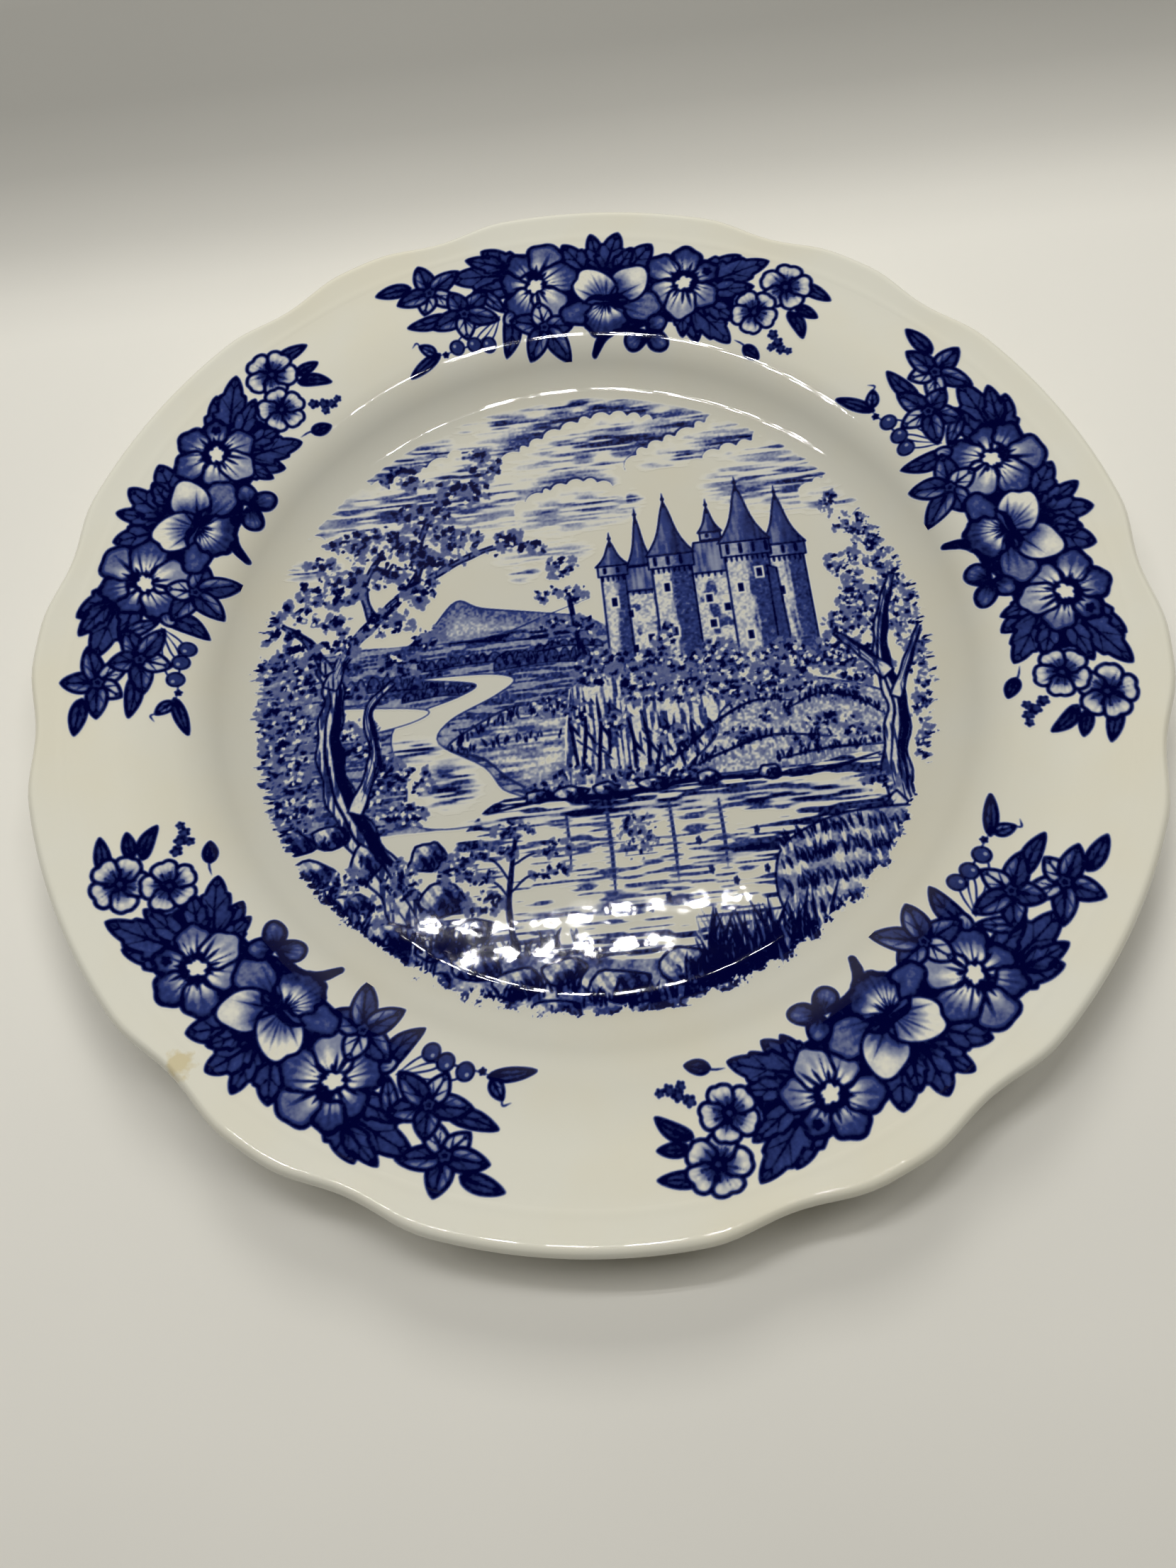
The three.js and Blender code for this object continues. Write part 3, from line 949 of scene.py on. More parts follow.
def rock(sheet, middle, radii, shade_side=1.0):
    """A boulder with a light top and a shaded, hatched side."""
    angle = np.linspace(0, 2 * np.pi, 8, endpoint=False) + sheet.random.uniform(-0.3, 0.3, 8)
    reach = sheet.random.uniform(0.72, 1.12, 8)
    ring = np.stack([np.cos(angle), np.sin(angle)], -1) * reach[:, None]
    outline = spline(np.asarray(middle) + np.asarray(radii) * ring, 2, closed=True)

    def shade(X, Y, part, depth):
        across = (X - middle[0]) / radii[0] * shade_side - 0.8 * (Y - middle[1]) / radii[1]
        facet = 0.3 * smooth((np.abs((X + 0.6 * Y) % 3.1 - 1.5) - 0.7) / 0.3)
        return 0.12 + facet + 0.6 * smooth((across + 0.5 + 0.9 * (sheet.blot[part] - 0.5)) / 0.7) + 0.4 * (
            sheet.grain[part] - 0.5)

    sheet.fill(outline, shade, width=0.6)
    for _ in range(11):
        start = middle + np.array(radii) * sheet.random.uniform((-0.3, -0.4), (0.7, 0.5))
        end = start + np.array(radii) * (sheet.random.uniform(-0.1, 0.2), sheet.random.uniform(-0.6, -0.3))
        sheet.draw([start, (start + end) / 2 + (0.3, 0.1), end], 0.5, taper=(0.2, 0.8))


def tower(sheet, middle, width, base, eaves, peak, gallery=3.4, windows=()):
    """A round tower, lit on its left, with a corbelled gallery and a steep pointed roof."""
    half = width / 2

    def wall(X, Y, part, depth):
        across = (X - middle) / half
        lines = 0.5 * (sheet.upright[part] - 0.5)
        return 0.16 + 0.54 * smooth((across + 0.25 + lines) / 0.5) + 0.4 * (sheet.grain[part] - 0.5)

    def slates(X, Y, part, depth):
        across = (X - middle) / half
        return 0.56 + 0.24 * smooth((across + 0.3) / 0.8) + 0.24 * (sheet.upright[part] - 0.5)

    sheet.fill([
        (middle - half, base), (middle + half, base), (middle + half, eaves), (middle - half, eaves),
    ], wall, width=0.45)
    if gallery:
        low, out = eaves - gallery, half + 0.7
        sheet.fill([
            (middle - out, low), (middle + out, low), (middle + out, eaves), (middle - out, eaves),
        ], lambda X, Y, part, depth: 0.3 + 0.4 * smooth((X - middle) / half + 0.4) + 0.2 * (
            sheet.grain[part] - 0.5), width=0.45)
        for x in np.arange(middle - half + 0.3, middle + half, 1.25):
            sheet.draw([(x, low), (x + 0.05, low - 1.3)], 0.6, taper=(1, 0.6))
        for x in np.arange(middle - half + 1, middle + half, 3.1):
            sheet.draw([(x, low + 1.1), (x, eaves - 0.8)], 0.9, taper=(1, 1))
    out = half + (1.1 if gallery else 0.5)
    rise = np.linspace(0, 1, 8)
    slope = out * (1 - rise) * (1 - 0.32 * np.sin(np.pi * rise))
    left = np.stack([middle - slope, eaves + (peak - eaves) * rise], -1)
    right = np.stack([middle + slope, eaves + (peak - eaves) * rise], -1)
    sheet.fill(np.concatenate([left, right[::-1]]), slates, width=0.5)
    sheet.draw([(middle, peak - 1.5), (middle, peak + 2.6)], 0.55, taper=(1, 0.3))
    sheet.dab(middle, peak + 0.8, 0.5, 1.0, lobes=0)
    for x, y in windows:
        opening(sheet, x, y)


def opening(sheet, x, y, width=1.3, height=2.3):
    """A window with a pale surround."""
    for grow, tone in ((0.5, 0.0), (0.0, 1.0)):
        across, up = width / 2 + grow, height / 2 + grow
        sheet.fill([
            (x - across, y - up), (x + across, y - up), (x + across, y + up), (x - across, y + up),
        ], tone, None)


def range_of_wall(sheet, left, right, base, eaves, ridge, windows=()):
    """A straight wall with a sloping slate roof."""
    def stone(X, Y, part, depth):
        joints = 0.5 * smooth((sheet.blot[part] - 0.62) / 0.1)
        return 0.16 + joints + 0.5 * (sheet.grain[part] - 0.5)

    sheet.fill([(left, base), (right, base), (right, eaves), (left, eaves)], stone, width=0.4)
    sheet.fill([
        (left - 0.5, eaves), (right + 0.5, eaves), (right - 0.6, ridge), (left + 1.2, ridge),
    ], lambda X, Y, part, depth: 0.5 + 0.35 * (sheet.upright[part] - 0.5), width=0.5)
    for x in np.arange(left + 0.8, right, 1.5):
        sheet.draw([(x, eaves), (x, eaves - 1.0)], 0.5, taper=(1, 0.7))
    for x, y in windows:
        opening(sheet, x, y, 1.5, 2.0)


def draw_sky(sheet):
    """Streaks of haze, and banks of cloud over them, that fade out at the edge."""
    for middle, radii, strength in (
        ((18, 66), (46, 13), 0.58), ((-36, 52), (34, 16), 0.5), ((54, 48), (24, 13), 0.52),
        ((0, 46), (20, 9), 0.44), ((-8, 34), (14, 5), 0.24), ((-40, 66), (24, 6), 0.8),
        ((-30, 60), (16, 4.5), 0.7), ((14, 77), (26, 3.6), 0.6),
        ((58, 47), (12, 4), 0.6), ((10, 47), (9, 2.4), 0.75), ((-66, 37), (10, 4), 0.45),
        ((-13, 29), (5, 3), 0.45), ((64, 40), (9, 3.5), 0.5), ((48, 57), (16, 2.6), 0.6),
        ((-52, 47), (9, 3), 0.45), ((4, 58), (10, 3), 0.5), ((-66, 48), (7, 3), 0.5),
        ((26, 58), (12, 4), 0.6), ((-14, 74), (16, 4), 0.6), ((60, 58), (12, 4), 0.6),
    ):
        haze(sheet, middle, radii, strength)
    cloud(sheet, ((-20, 61), (-11, 65), (0, 70.5), (13, 73), (28, 68)), 8.5, 1.0)
    cloud(sheet, ((13, 52), (18, 60), (30, 65), (42, 68.5), (57, 64)), 8.0, 1.0)
    cloud(sheet, ((30, 54), (38, 58.5), (46, 60), (53, 63), (66, 55)), 7.0, 1.0)
    cloud(sheet, ((-58, 60), (-46, 60), (-36, 63), (-26, 67)), 6.5, 0.95)
    cloud(sheet, ((-14, 48), (-6, 52), (4, 54), (14, 50)), 5.0, 0.7, 3.6, 1.0)
    cloud(sheet, ((-74, 38), (-66, 45), (-56, 44)), 5.0, 0.8)
    cloud(sheet, ((56, 44), (64, 47), (72, 42)), 4.0, 0.7, 3.2, 0.8)
    sheet.ink *= smooth((sheet.x[-1] - np.hypot(*np.meshgrid(sheet.x, sheet.y)) - 1 + 7 * sheet.level) / 9)


def draw_distance(sheet):
    """Far hills, the plain with its hedges, and a winding river."""
    def slope(level, depth_fade):
        def shade(X, Y, part, depth):
            return level * (1 - smooth(depth / depth_fade)) + 0.4 * (sheet.grain[part] - 0.5) + 0.06
        return shade

    hill = [(-44, 12), (-37, 16), (-30, 23.5), (-24, 21), (-12, 18.5), (0, 16), (6, 12)]
    sheet.fill(spline(hill, 4).tolist() + [(6, 10), (-44, 10)], slope(0.5, 9), None)
    sheet.draw(spline(hill[:-1]), 0.45, 0.8)
    nearer = [(-44, 13), (-33, 12.5), (-20, 13.4), (-9, 17), (2, 20.5)]
    sheet.draw(spline(nearer), 0.4, 0.8)
    haze(sheet, (-16, 12), (24, 4), 0.9)
    plain = [(-78, 13), (-52, 13.5), (6, 10), (6, -34), (-78, -34)]

    def fields(X, Y, part, depth):
        return (0.34 + 0.4 * smooth((sheet.level[part] - 0.4) / 0.2)) * (0.6 + 0.8 * sheet.grain[part])

    sheet.fill(plain, fields, None)
    for start, end, y, height in (
        (-40, -8, 6.4, 1.8), (-22, 3, 4.6, 3.0), (-62, -34, 1.8, 3.2), (-44, -26, -1.0, 1.8),
        (-12, 4, 8.4, 1.0),
    ):
        ground = spline([(start, y), ((start + end) / 2, y + 0.8), (end, y - 0.4)])
        crest = scallops(ground, 2.4, height, sheet.random)
        sheet.fill(
            np.concatenate([crest, (ground - (0, 0.7))[::-1]]),
            stipple(sheet, 0.72, 0.5), width=0.35,
        )
        tufts(sheet, ground, int(end - start), 1.2, 0.5)
    river = [
        (-40, 3.8), (-24, 3.4), (-17.5, 1.2), (-22.5, -2.6), (-33, -7.5), (-36, -13), (-26, -20), (-22, -26),
        (-16, -30), (-30, -34), (-43, -32), (-44, -22), (-47, -12), (-44, -6), (-31, -1.8),
        (-26.5, 0.6), (-30, 2.0),
    ]
    sheet.fill(spline(river, 5, closed=True), 0.0, 0.75, 0.35)
    branch = [(-62, -2), (-48, -2.6), (-38, -4.4), (-42, -7), (-54, -9), (-64, -9)]
    sheet.fill(spline(branch, 5, closed=True), 0.0, 0.7, 0.35)
    bank = [
        (-34, -14.5), (-28, -10), (-19, -6), (-8, -5), (2, -6), (4, -28), (-12, -28), (-20, -24),
        (-26, -18),
    ]
    sheet.fill(
        spline(bank, 5, closed=True),
        mottle(sheet, sheet.level, 0.34, 0.7), 0.9, 0.5,
    )
    tufts(sheet, [(-33, -14.4), (-26, -11), (-16, -8), (-6, -7)], 46, 2.2, 0.55)
    tufts(sheet, [(-31, -15.6), (-20, -14.5), (-6, -14)], 34, 1.6, 0.5)
    foliage(sheet, (-10, -7), (6, 2.4), 1.0)


def draw_castle(sheet):
    """The castle's towers and walls, from the furthest to the nearest."""
    tower(sheet, 15.3, 5.6, 15, 28, 41.5, 0)
    range_of_wall(sheet, 7.4, 19.6, -6, 21, 27.6, ((11.4, 15), (15.7, 8), (11.6, 5.6)))
    tower(sheet, 8.4, 5.8, -4, 28.6, 35.5, 2.8, ((8.0, 18.6),))
    tower(sheet, 32.9, 3.6, 24, 35, 42, 2.2)
    range_of_wall(sheet, 27.4, 37.4, -8, 23.8, 32.4, ((30.5, 16.8), (30.6, 10), (34.5, 14)))
    tower(sheet, 22.6, 9.6, -8, 30, 45, 3.6, ((20.9, 21), (21.4, 9)))
    tower(sheet, 50.0, 8.7, -9, 29.5, 43.5, 3.4, ((47.9, 16.8),))
    tower(sheet, 40.8, 10.5, -9, 31.4, 47.4, 4.0, ((38.3, 18.8), (38.9, 6), (43.2, 22.4)))
    sheet.fill([(44.9, -9), (48.2, -9), (47.4, 23), (45.3, 24)], stipple(sheet, 0.7, 0.3), width=0.5)


def draw_hill(sheet):
    """The crag that the castle stands on, its bushes, and the meadow that runs down to the lake."""
    def face(X, Y, part, depth):
        return 0.08 + 0.64 * smooth((sheet.upright[part] - 0.5) / 0.2) + 0.36 * (sheet.grain[part] - 0.5)

    crag = [(-5, -3), (2, -2), (62, -5), (72, -12), (66, -22), (34, -24), (12, -30), (-8, -27), (-7, -14)]
    sheet.fill(crag, 0.0, None)
    sheet.fill([(-5, -3), (0, 0), (30, -5), (34, -18), (12, -27), (-8, -27), (-6.4, -14)], face, None)
    for x, top, foot in (
        (-4.6, -3, -25), (-1.8, -4, -22), (1.2, -5, -26), (4.0, -7, -20), (7.4, -9, -24), (11.0, -10, -26),
        (14.6, -11, -24), (18.4, -12, -25), (22.0, -13, -23), (26.0, -14, -22),
    ):
        knee = sheet.random.uniform(0.35, 0.65) * (foot - top)
        kink = sheet.random.uniform(-1.8, 1.8)
        lean = sheet.random.uniform(-1.6, 1.0)
        sheet.draw([(x, top), (x + kink, top + knee), (x + lean, foot)], 0.9, taper=(0.1, 0.8))
        sheet.draw([(x + kink, top + knee), (x + 2.2 + kink, top + knee - 4)], 0.7, taper=(0.9, 0.1))
        for _ in range(5):
            start = np.array((x + sheet.random.uniform(-1, 1.6), sheet.random.uniform(foot, top)))
            sheet.draw([start, start + (sheet.random.uniform(0.6, 1.8), -1.6)], 0.45, taper=(0.7, 0.2))
    meadow = [(30, -12), (44, -6), (62, -10), (70, -16), (66, -27), (40, -28), (20, -27), (27, -19)]
    sheet.fill(spline(meadow, 5, closed=True), stipple(sheet, 0.26, 0.6), 0.9, 0.45)
    for x, y, wide, tall in (
        (36, -9, 5, 2.4), (46, -8, 6, 3.4), (57, -11, 6, 2.8), (41, -15, 4, 1.6), (53, -18, 7, 2.0),
        (33, -19, 5, 1.8), (60, -21, 5, 1.6), (48, -22, 5, 1.2),
    ):
        foliage(sheet, (x, y), (wide, tall), 1.1)
    for ridge in (
        ((12, -26), (20, -21), (28, -15), (37, -11), (46, -12)),
        ((18, -27), (28, -23), (40, -20), (54, -22)),
        ((44, -14), (52, -11), (60, -13), (66, -18)), ((40, -26), (52, -24.6), (65, -25)),
    ):
        sheet.draw(spline(ridge), 0.7, taper=(0.4, 0.3))
        tufts(sheet, ridge, 44, 1.8, 0.55)
        tufts(sheet, [(x, y - 2.2) for x, y in ridge], 30, 1.6, 0.5, SOFT)
    for x, y, wide, tall in (
        (1, 1, 5, 4), (8, 2, 6, 3.4), (15, 1, 6, 3.6), (23, 0, 6, 3.4), (31, 1, 6, 3), (38, -1, 6, 3.4),
        (45, -2, 6, 3.4), (53, -3, 7, 3.6), (62, -4, 6, 6), (12, -3, 6, 3), (28, -4, 7, 3),
        (42, -6, 7, 3), (22, -6, 8, 3.6), (33, -7, 7, 3), (13, -6, 6, 3),
        (19, 7, 3, 4.4), (46, 1, 6, 3), (30, 2, 4, 3.6), (3, 3, 3.6, 3.6), (57, -1, 5, 5),
        (61, 6, 5, 4), (65, 13, 4, 4.4), (5, -12, 3, 2.6), (17, -17, 3.4, 2.4), (-4, -9, 2.6, 3),
    ):
        foliage(sheet, (x, y), (wide, tall), 1.25, 1.0, 0.75)
    for x, y, wide, tall in ((6, -26, 7, 2.2), (-6, -24, 5, 2.4), (20, -27, 8, 1.6), (-12, -27, 5, 2)):
        foliage(sheet, (x, y), (wide, tall), 1.1, 1.1, 0.35)


def draw_lake(sheet):
    """The lake, with ripples, reflections and a rocky shore."""
    shore = [
        (-30, -34), (-22, -28.5), (-6, -29.5), (10, -30), (26, -28.4), (44, -28.6), (62, -27), (62, -40),
        (40, -44), (36, -60), (20, -66), (0, -67), (-22, -66), (-36, -58), (-38, -44),
    ]

    def ripples(X, Y, part, depth):
        near = smooth(1 - depth / 7)
        return (0.66 + 0.3 * near) * smooth((sheet.level[part] - 0.56 + 0.26 * near) / 0.2) * (
            0.7 + 0.6 * sheet.grain[part])

    sheet.fill(spline(shore, 4, closed=True), ripples, None)
    haze(sheet, (4, -33.5), (38, 3.2), 1.0)
    haze(sheet, (44, -35), (18, 3.6), 0.9)
    haze(sheet, (30, -46), (13, 2.4), 0.8)
    haze(sheet, (-2, -56), (20, 2.4), 0.7)
    haze(sheet, (-34, -24), (9, 9), 0.8)
    haze(sheet, (-42, -14), (8, 5), 0.7)
    for x, top, foot, width in (
        (-8.5, -34, -47, 0.7), (0.6, -32, -55, 0.9), (14.6, -33, -52, 0.8), (25.6, -34, -50, 0.8),
    ):
        sheet.draw([(x, top), (x + 0.2, (top + foot) / 2), (x, foot)], width, 0.85, taper=(0.7, 0.1))
        for y in np.arange(foot, top, 1.3):
            wide = sheet.random.uniform(0.8, 2.6)
            sheet.draw([(x - wide, y), (x + 0.6 * wide, y)], 0.45, SOFT)
    foliage(sheet, (7, -40), (4.2, 5.6), 0.9, 0.8, 0.9, 0.8)
    for x, y in ((20, -43), (33, -42), (36, -46), (22, -50), (27, -53), (34, -51), (12, -55), (8, -57)):
        sheet.dab(x, y, 0.7, 0.9, squash=1.6)
    brink = spline([(-26, -31.5), (-12, -29.6), (2, -30.4), (18, -28.8), (34, -29.4)])
    sheet.draw(brink, 1.5, taper=(0.2, 0.4))
    sheet.draw(spline([(30, -29.2), (48, -29.8), (63, -27)]), 0.9, taper=(0.4, 0.4))
    for x, wide in ((-14, 3), (-7, 4), (1, 3), (12, 4), (24, 3), (38, 3)):
        rock(sheet, (x, -28.6), (wide, 1.7))


def draw_left_tree(sheet):
    """The wood and the tall tree on the left, and a small tree by the castle."""
    for x, y, wide, tall in (
        (-73, 9, 7, 6), (-64, 4, 8, 5), (-73, -3, 7, 6), (-64, -6, 7, 4), (-72, -14, 7, 7), (-70, -24, 7, 5),
        (-69, -19, 5, 3), (-57, 2, 4, 2.4),
        (-54, -10, 5, 5), (-49, -19, 5, 5), (-53, -27, 4, 5), (-42, -22, 4, 4), (-45, -30, 5, 4),
    ):
        foliage(sheet, (x, y), (wide, tall), 1.3, 0.9, 0.8)
    bole = ((-40, -62), (-46, -50), (-53, -37), (-59, -24), (-61.5, -10), (-60, 2), (-62, 10))
    trunk(sheet, bole, 8.5, 4.2)
    trunk(sheet, ((-56, -28), (-51, -15), (-52, -3), (-46, 4)), 3.2, 1.2)
    trunk(sheet, ((-61, 4), (-56, 14), (-48, 22), (-40, 30), (-36, 40)), 3.4, 0.9, 0.3)
    trunk(sheet, ((-61, 8), (-66, 17), (-72, 22)), 2.6, 0.8, 0.3)
    trunk(sheet, ((-50, 20), (-52, 30), (-47, 40)), 2.0, 0.7, 0.5)
    trunk(sheet, ((-44, 26), (-32, 33), (-22, 37), (-14, 38)), 1.8, 0.6, 0.5)
    trunk(sheet, ((-40, 34), (-36, 46), (-30, 54)), 1.4, 0.5, 0.6)
    for x, y, wide, tall in (
        (-73, 22, 7, 4.5), (-60, 31, 9, 5), (-46, 42, 10, 5.6), (-35, 37, 8, 5), (-27, 55, 8, 4.4),
        (-41, 60, 6, 4), (-20, 61, 5, 3), (-16, 38, 6, 3.4), (-27, 40, 6, 3.6), (-50, 33, 7, 4),
        (-39, 28, 6, 4.4), (-47, 20, 7, 3.4), (-58, 16, 6, 3.6), (-68, 13, 6, 4), (-56, 44, 5, 3),
        (-34, 48, 5, 3), (-22, 65, 3, 2), (-9, 36, 3, 2), (-44, 8, 6, 3), (-38, 15, 5, 3),
        (-67, 27, 5, 2.4), (-63, 38, 4, 2.4), (-40, 50, 5, 2.4), (-31, 43, 4, 2.2),
        (-60, 22, 5, 2.4), (-45, 34, 5, 2.6),
    ):
        foliage(sheet, (x, y), (wide, tall), 1.5, 0.85, 0.3, 1.2)
    trunk(sheet, ((-1, 6), (-2, 14), (-3, 24)), 1.2, 0.5, 0.8)
    for x, y, wide, tall in (
        (-4, 30, 4, 3), (-8, 23, 3.4, 2), (-1, 22, 3, 2.6), (-6, 14, 4.4, 2.4), (0, 13, 3, 3),
    ):
        foliage(sheet, (x, y), (wide, tall), 1.2, 0.9, 0.3, 1.1)


def draw_right_tree(sheet):
    """The gnarled tree on the right."""
    for x, y, wide, tall in (
        (68, 33, 6, 4), (72, 24, 7, 5), (64, 22, 5, 4), (75, 14, 6, 6), (66, 12, 6, 4), (76, 3, 5, 6),
        (70, 6, 5, 4), (77, -8, 4, 6), (76, -18, 4, 5), (66, -5, 4, 3), (62, 40, 3, 3), (75, -27, 4, 4),
    ):
        foliage(sheet, (x, y), (wide, tall), 1.15, 1.0, 0.9, 0.8)
    trunk(sheet, ((66, -45), (66, -30), (69, -16), (67.5, -4), (70, 8), (74, 18)), 7.0, 1.4)
    trunk(sheet, ((68.5, -8), (63, -1), (58, 4)), 3.4, 1.2)
    trunk(sheet, ((69, -14), (74, -4), (78, 4)), 2.4, 0.8)
    trunk(sheet, ((66, -38), (60, -42), (54, -45)), 3.6, 1.2)
    trunk(sheet, ((67, -40), (72, -44), (76, -44)), 3.0, 1.0)
    for x, y, wide, tall in ((76, -37, 3, 3), (62, -34, 4, 2), (73, 30, 3, 2), (78, 10, 2.4, 3)):
        foliage(sheet, (x, y), (wide, tall), 1.1)


def draw_foreground(sheet):
    """The near bank: a grassy hummock, boulders, a sapling and reeds."""
    hummock = [(36, -60), (37, -48), (46, -42), (58, -40), (72, -42), (70, -56), (58, -66), (44, -68)]
    sheet.fill(
        spline(hummock, 5, closed=True),
        mottle(sheet, sheet.blot, 0.4, 0.5), 1.0, 0.5,
    )
    for y, count in ((-46, 60), (-51, 70), (-57, 70), (-63, 60)):
        tufts(sheet, [(38, y), (52, y + 2), (68, y + 1)], count, 3.0, 0.5, 1.0, -0.2, 0.4)
        tufts(sheet, [(38, y - 2), (52, y), (66, y - 1)], count // 3, 2.4, 0.5, 0.0, -0.2, 0.4)
    for x, y, wide, tall in (
        (-71, -34, 6, 3.6), (-66, -42, 7, 4), (-58, -50, 6, 4), (-62, -33, 5, 3), (-54, -40, 4, 5),
        (-50, -58, 7, 4), (-40, -40, 5, 4), (-37, -50, 5, 4), (-31, -58, 5, 3.4), (-43, -66, 5, 3),
    ):
        rock(sheet, (x, y), (wide, tall))
    for x, y, wide, tall in (
        (-72, -29, 6, 3), (-58, -44, 6, 3), (-46, -45, 4, 5), (-66, -48, 5, 3), (-34, -44, 4, 4),
        (-52, -51, 5, 3), (-28, -52, 5, 3), (-41, -56, 4, 3), (-60, -56, 5, 3),
    ):
        foliage(sheet, (x, y), (wide, tall), 1.2, 0.9, 0.6)
    trunk(sheet, ((-22, -64), (-22.8, -54), (-21.4, -44), (-20, -37)), 0.9, 0.4, 0.8)
    for branch in (
        ((-22.4, -52), (-25, -48), (-29, -46)), ((-22, -48), (-25, -43), (-29, -41)),
        ((-21.8, -50), (-18, -47), (-13, -47)), ((-21, -44), (-17, -42), (-12, -41.5)),
    ):
        sheet.draw(spline(branch), 0.5, taper=(0.9, 0.4))
    for x, y, wide, tall in (
        (-29, -40, 5, 2), (-21, -36, 5.4, 2.4), (-12, -41, 5, 1.8), (-29, -46, 4.4, 1.8),
        (-13, -46.6, 4.6, 1.6), (-22, -41, 3, 1.4),
    ):
        foliage(sheet, (x, y), (wide, tall), 1.0, 0.8, 0.2, 1.2)
    ground = [
        (-52, -60), (-36, -62), (-20, -64), (-4, -67), (12, -68), (30, -64), (50, -62), (70, -52), (66, -60),
        (40, -76), (0, -84), (-40, -78), (-62, -60),
    ]
    sheet.fill(
        spline(ground, 5, closed=True),
        mottle(sheet, sheet.blot, 0.42, 0.8), None,
    )
    for x, y, wide, tall in (
        (-50, -63, 5, 3.4), (-41, -69, 5, 3.4), (-31, -66, 6, 3.4), (-22, -71, 6, 3.6), (-12, -69, 5, 3),
        (-30, -75, 6, 3), (-14, -77, 6, 3), (0, -73, 7, 3.8), (14, -70, 8, 4.6), (4, -79, 7, 2.4),
        (24, -75, 6, 3), (-40, -61, 4, 2.6), (18, -78, 6, 2),
    ):
        rock(sheet, (x, y), (wide, tall))
    for start, end, y, count, height in (
        (-56, -30, -60, 70, 4), (-36, -8, -63, 60, 3.4), (-44, -10, -73, 70, 3.4), (-8, 20, -76, 60, 3.6),
        (-24, 10, -80, 70, 3.0), (14, 46, -72, 90, 4.4), (34, 64, -66, 80, 4.6), (-60, -40, -66, 40, 3.4),
    ):
        tufts(sheet, [(start, y), ((start + end) / 2, y - 1), (end, y)], count, height, 0.6)
    tufts(sheet, [(18, -75), (30, -74), (46, -70)], 70, 14, 0.6, SOFT, 0.05, 0.4)
    tufts(sheet, [(18, -75), (30, -74), (46, -70)], 30, 12, 0.6, 0.0, 0.0, 0.35)
    tufts(sheet, [(18, -75), (30, -74), (46, -70)], 80, 15, 0.8, 1.0, 0.05, 0.35)
    tufts(sheet, [(-70, -42), (-62, -50), (-52, -60)], 60, 4, 0.6)


def draw_landscape(sheet, radius):
    """A castle on a crag above a lake, between two trees, with a river in the distance."""
    draw_sky(sheet)
    draw_distance(sheet)
    draw_castle(sheet)
    draw_hill(sheet)
    draw_lake(sheet)
    draw_left_tree(sheet)
    draw_right_tree(sheet)
    draw_foreground(sheet)
    soften(sheet, 1)
    X, Y = np.meshgrid(sheet.x, sheet.y)
    brushed = 4.0 * (sheet.level - 0.5) * smooth(1.2 - np.abs(Y) / radius * 1.3)
    grassy = 3.4 * (sheet.blot + 0.5 * sheet.grain - 0.75) * smooth(-Y / radius * 2 - 0.4)
    ragged = radius - 1.8 + brushed + grassy
    sheet.ink *= np.clip((ragged - np.hypot(X, Y)) / sheet.pitch * 0.5 + 0.5, 0, 1)


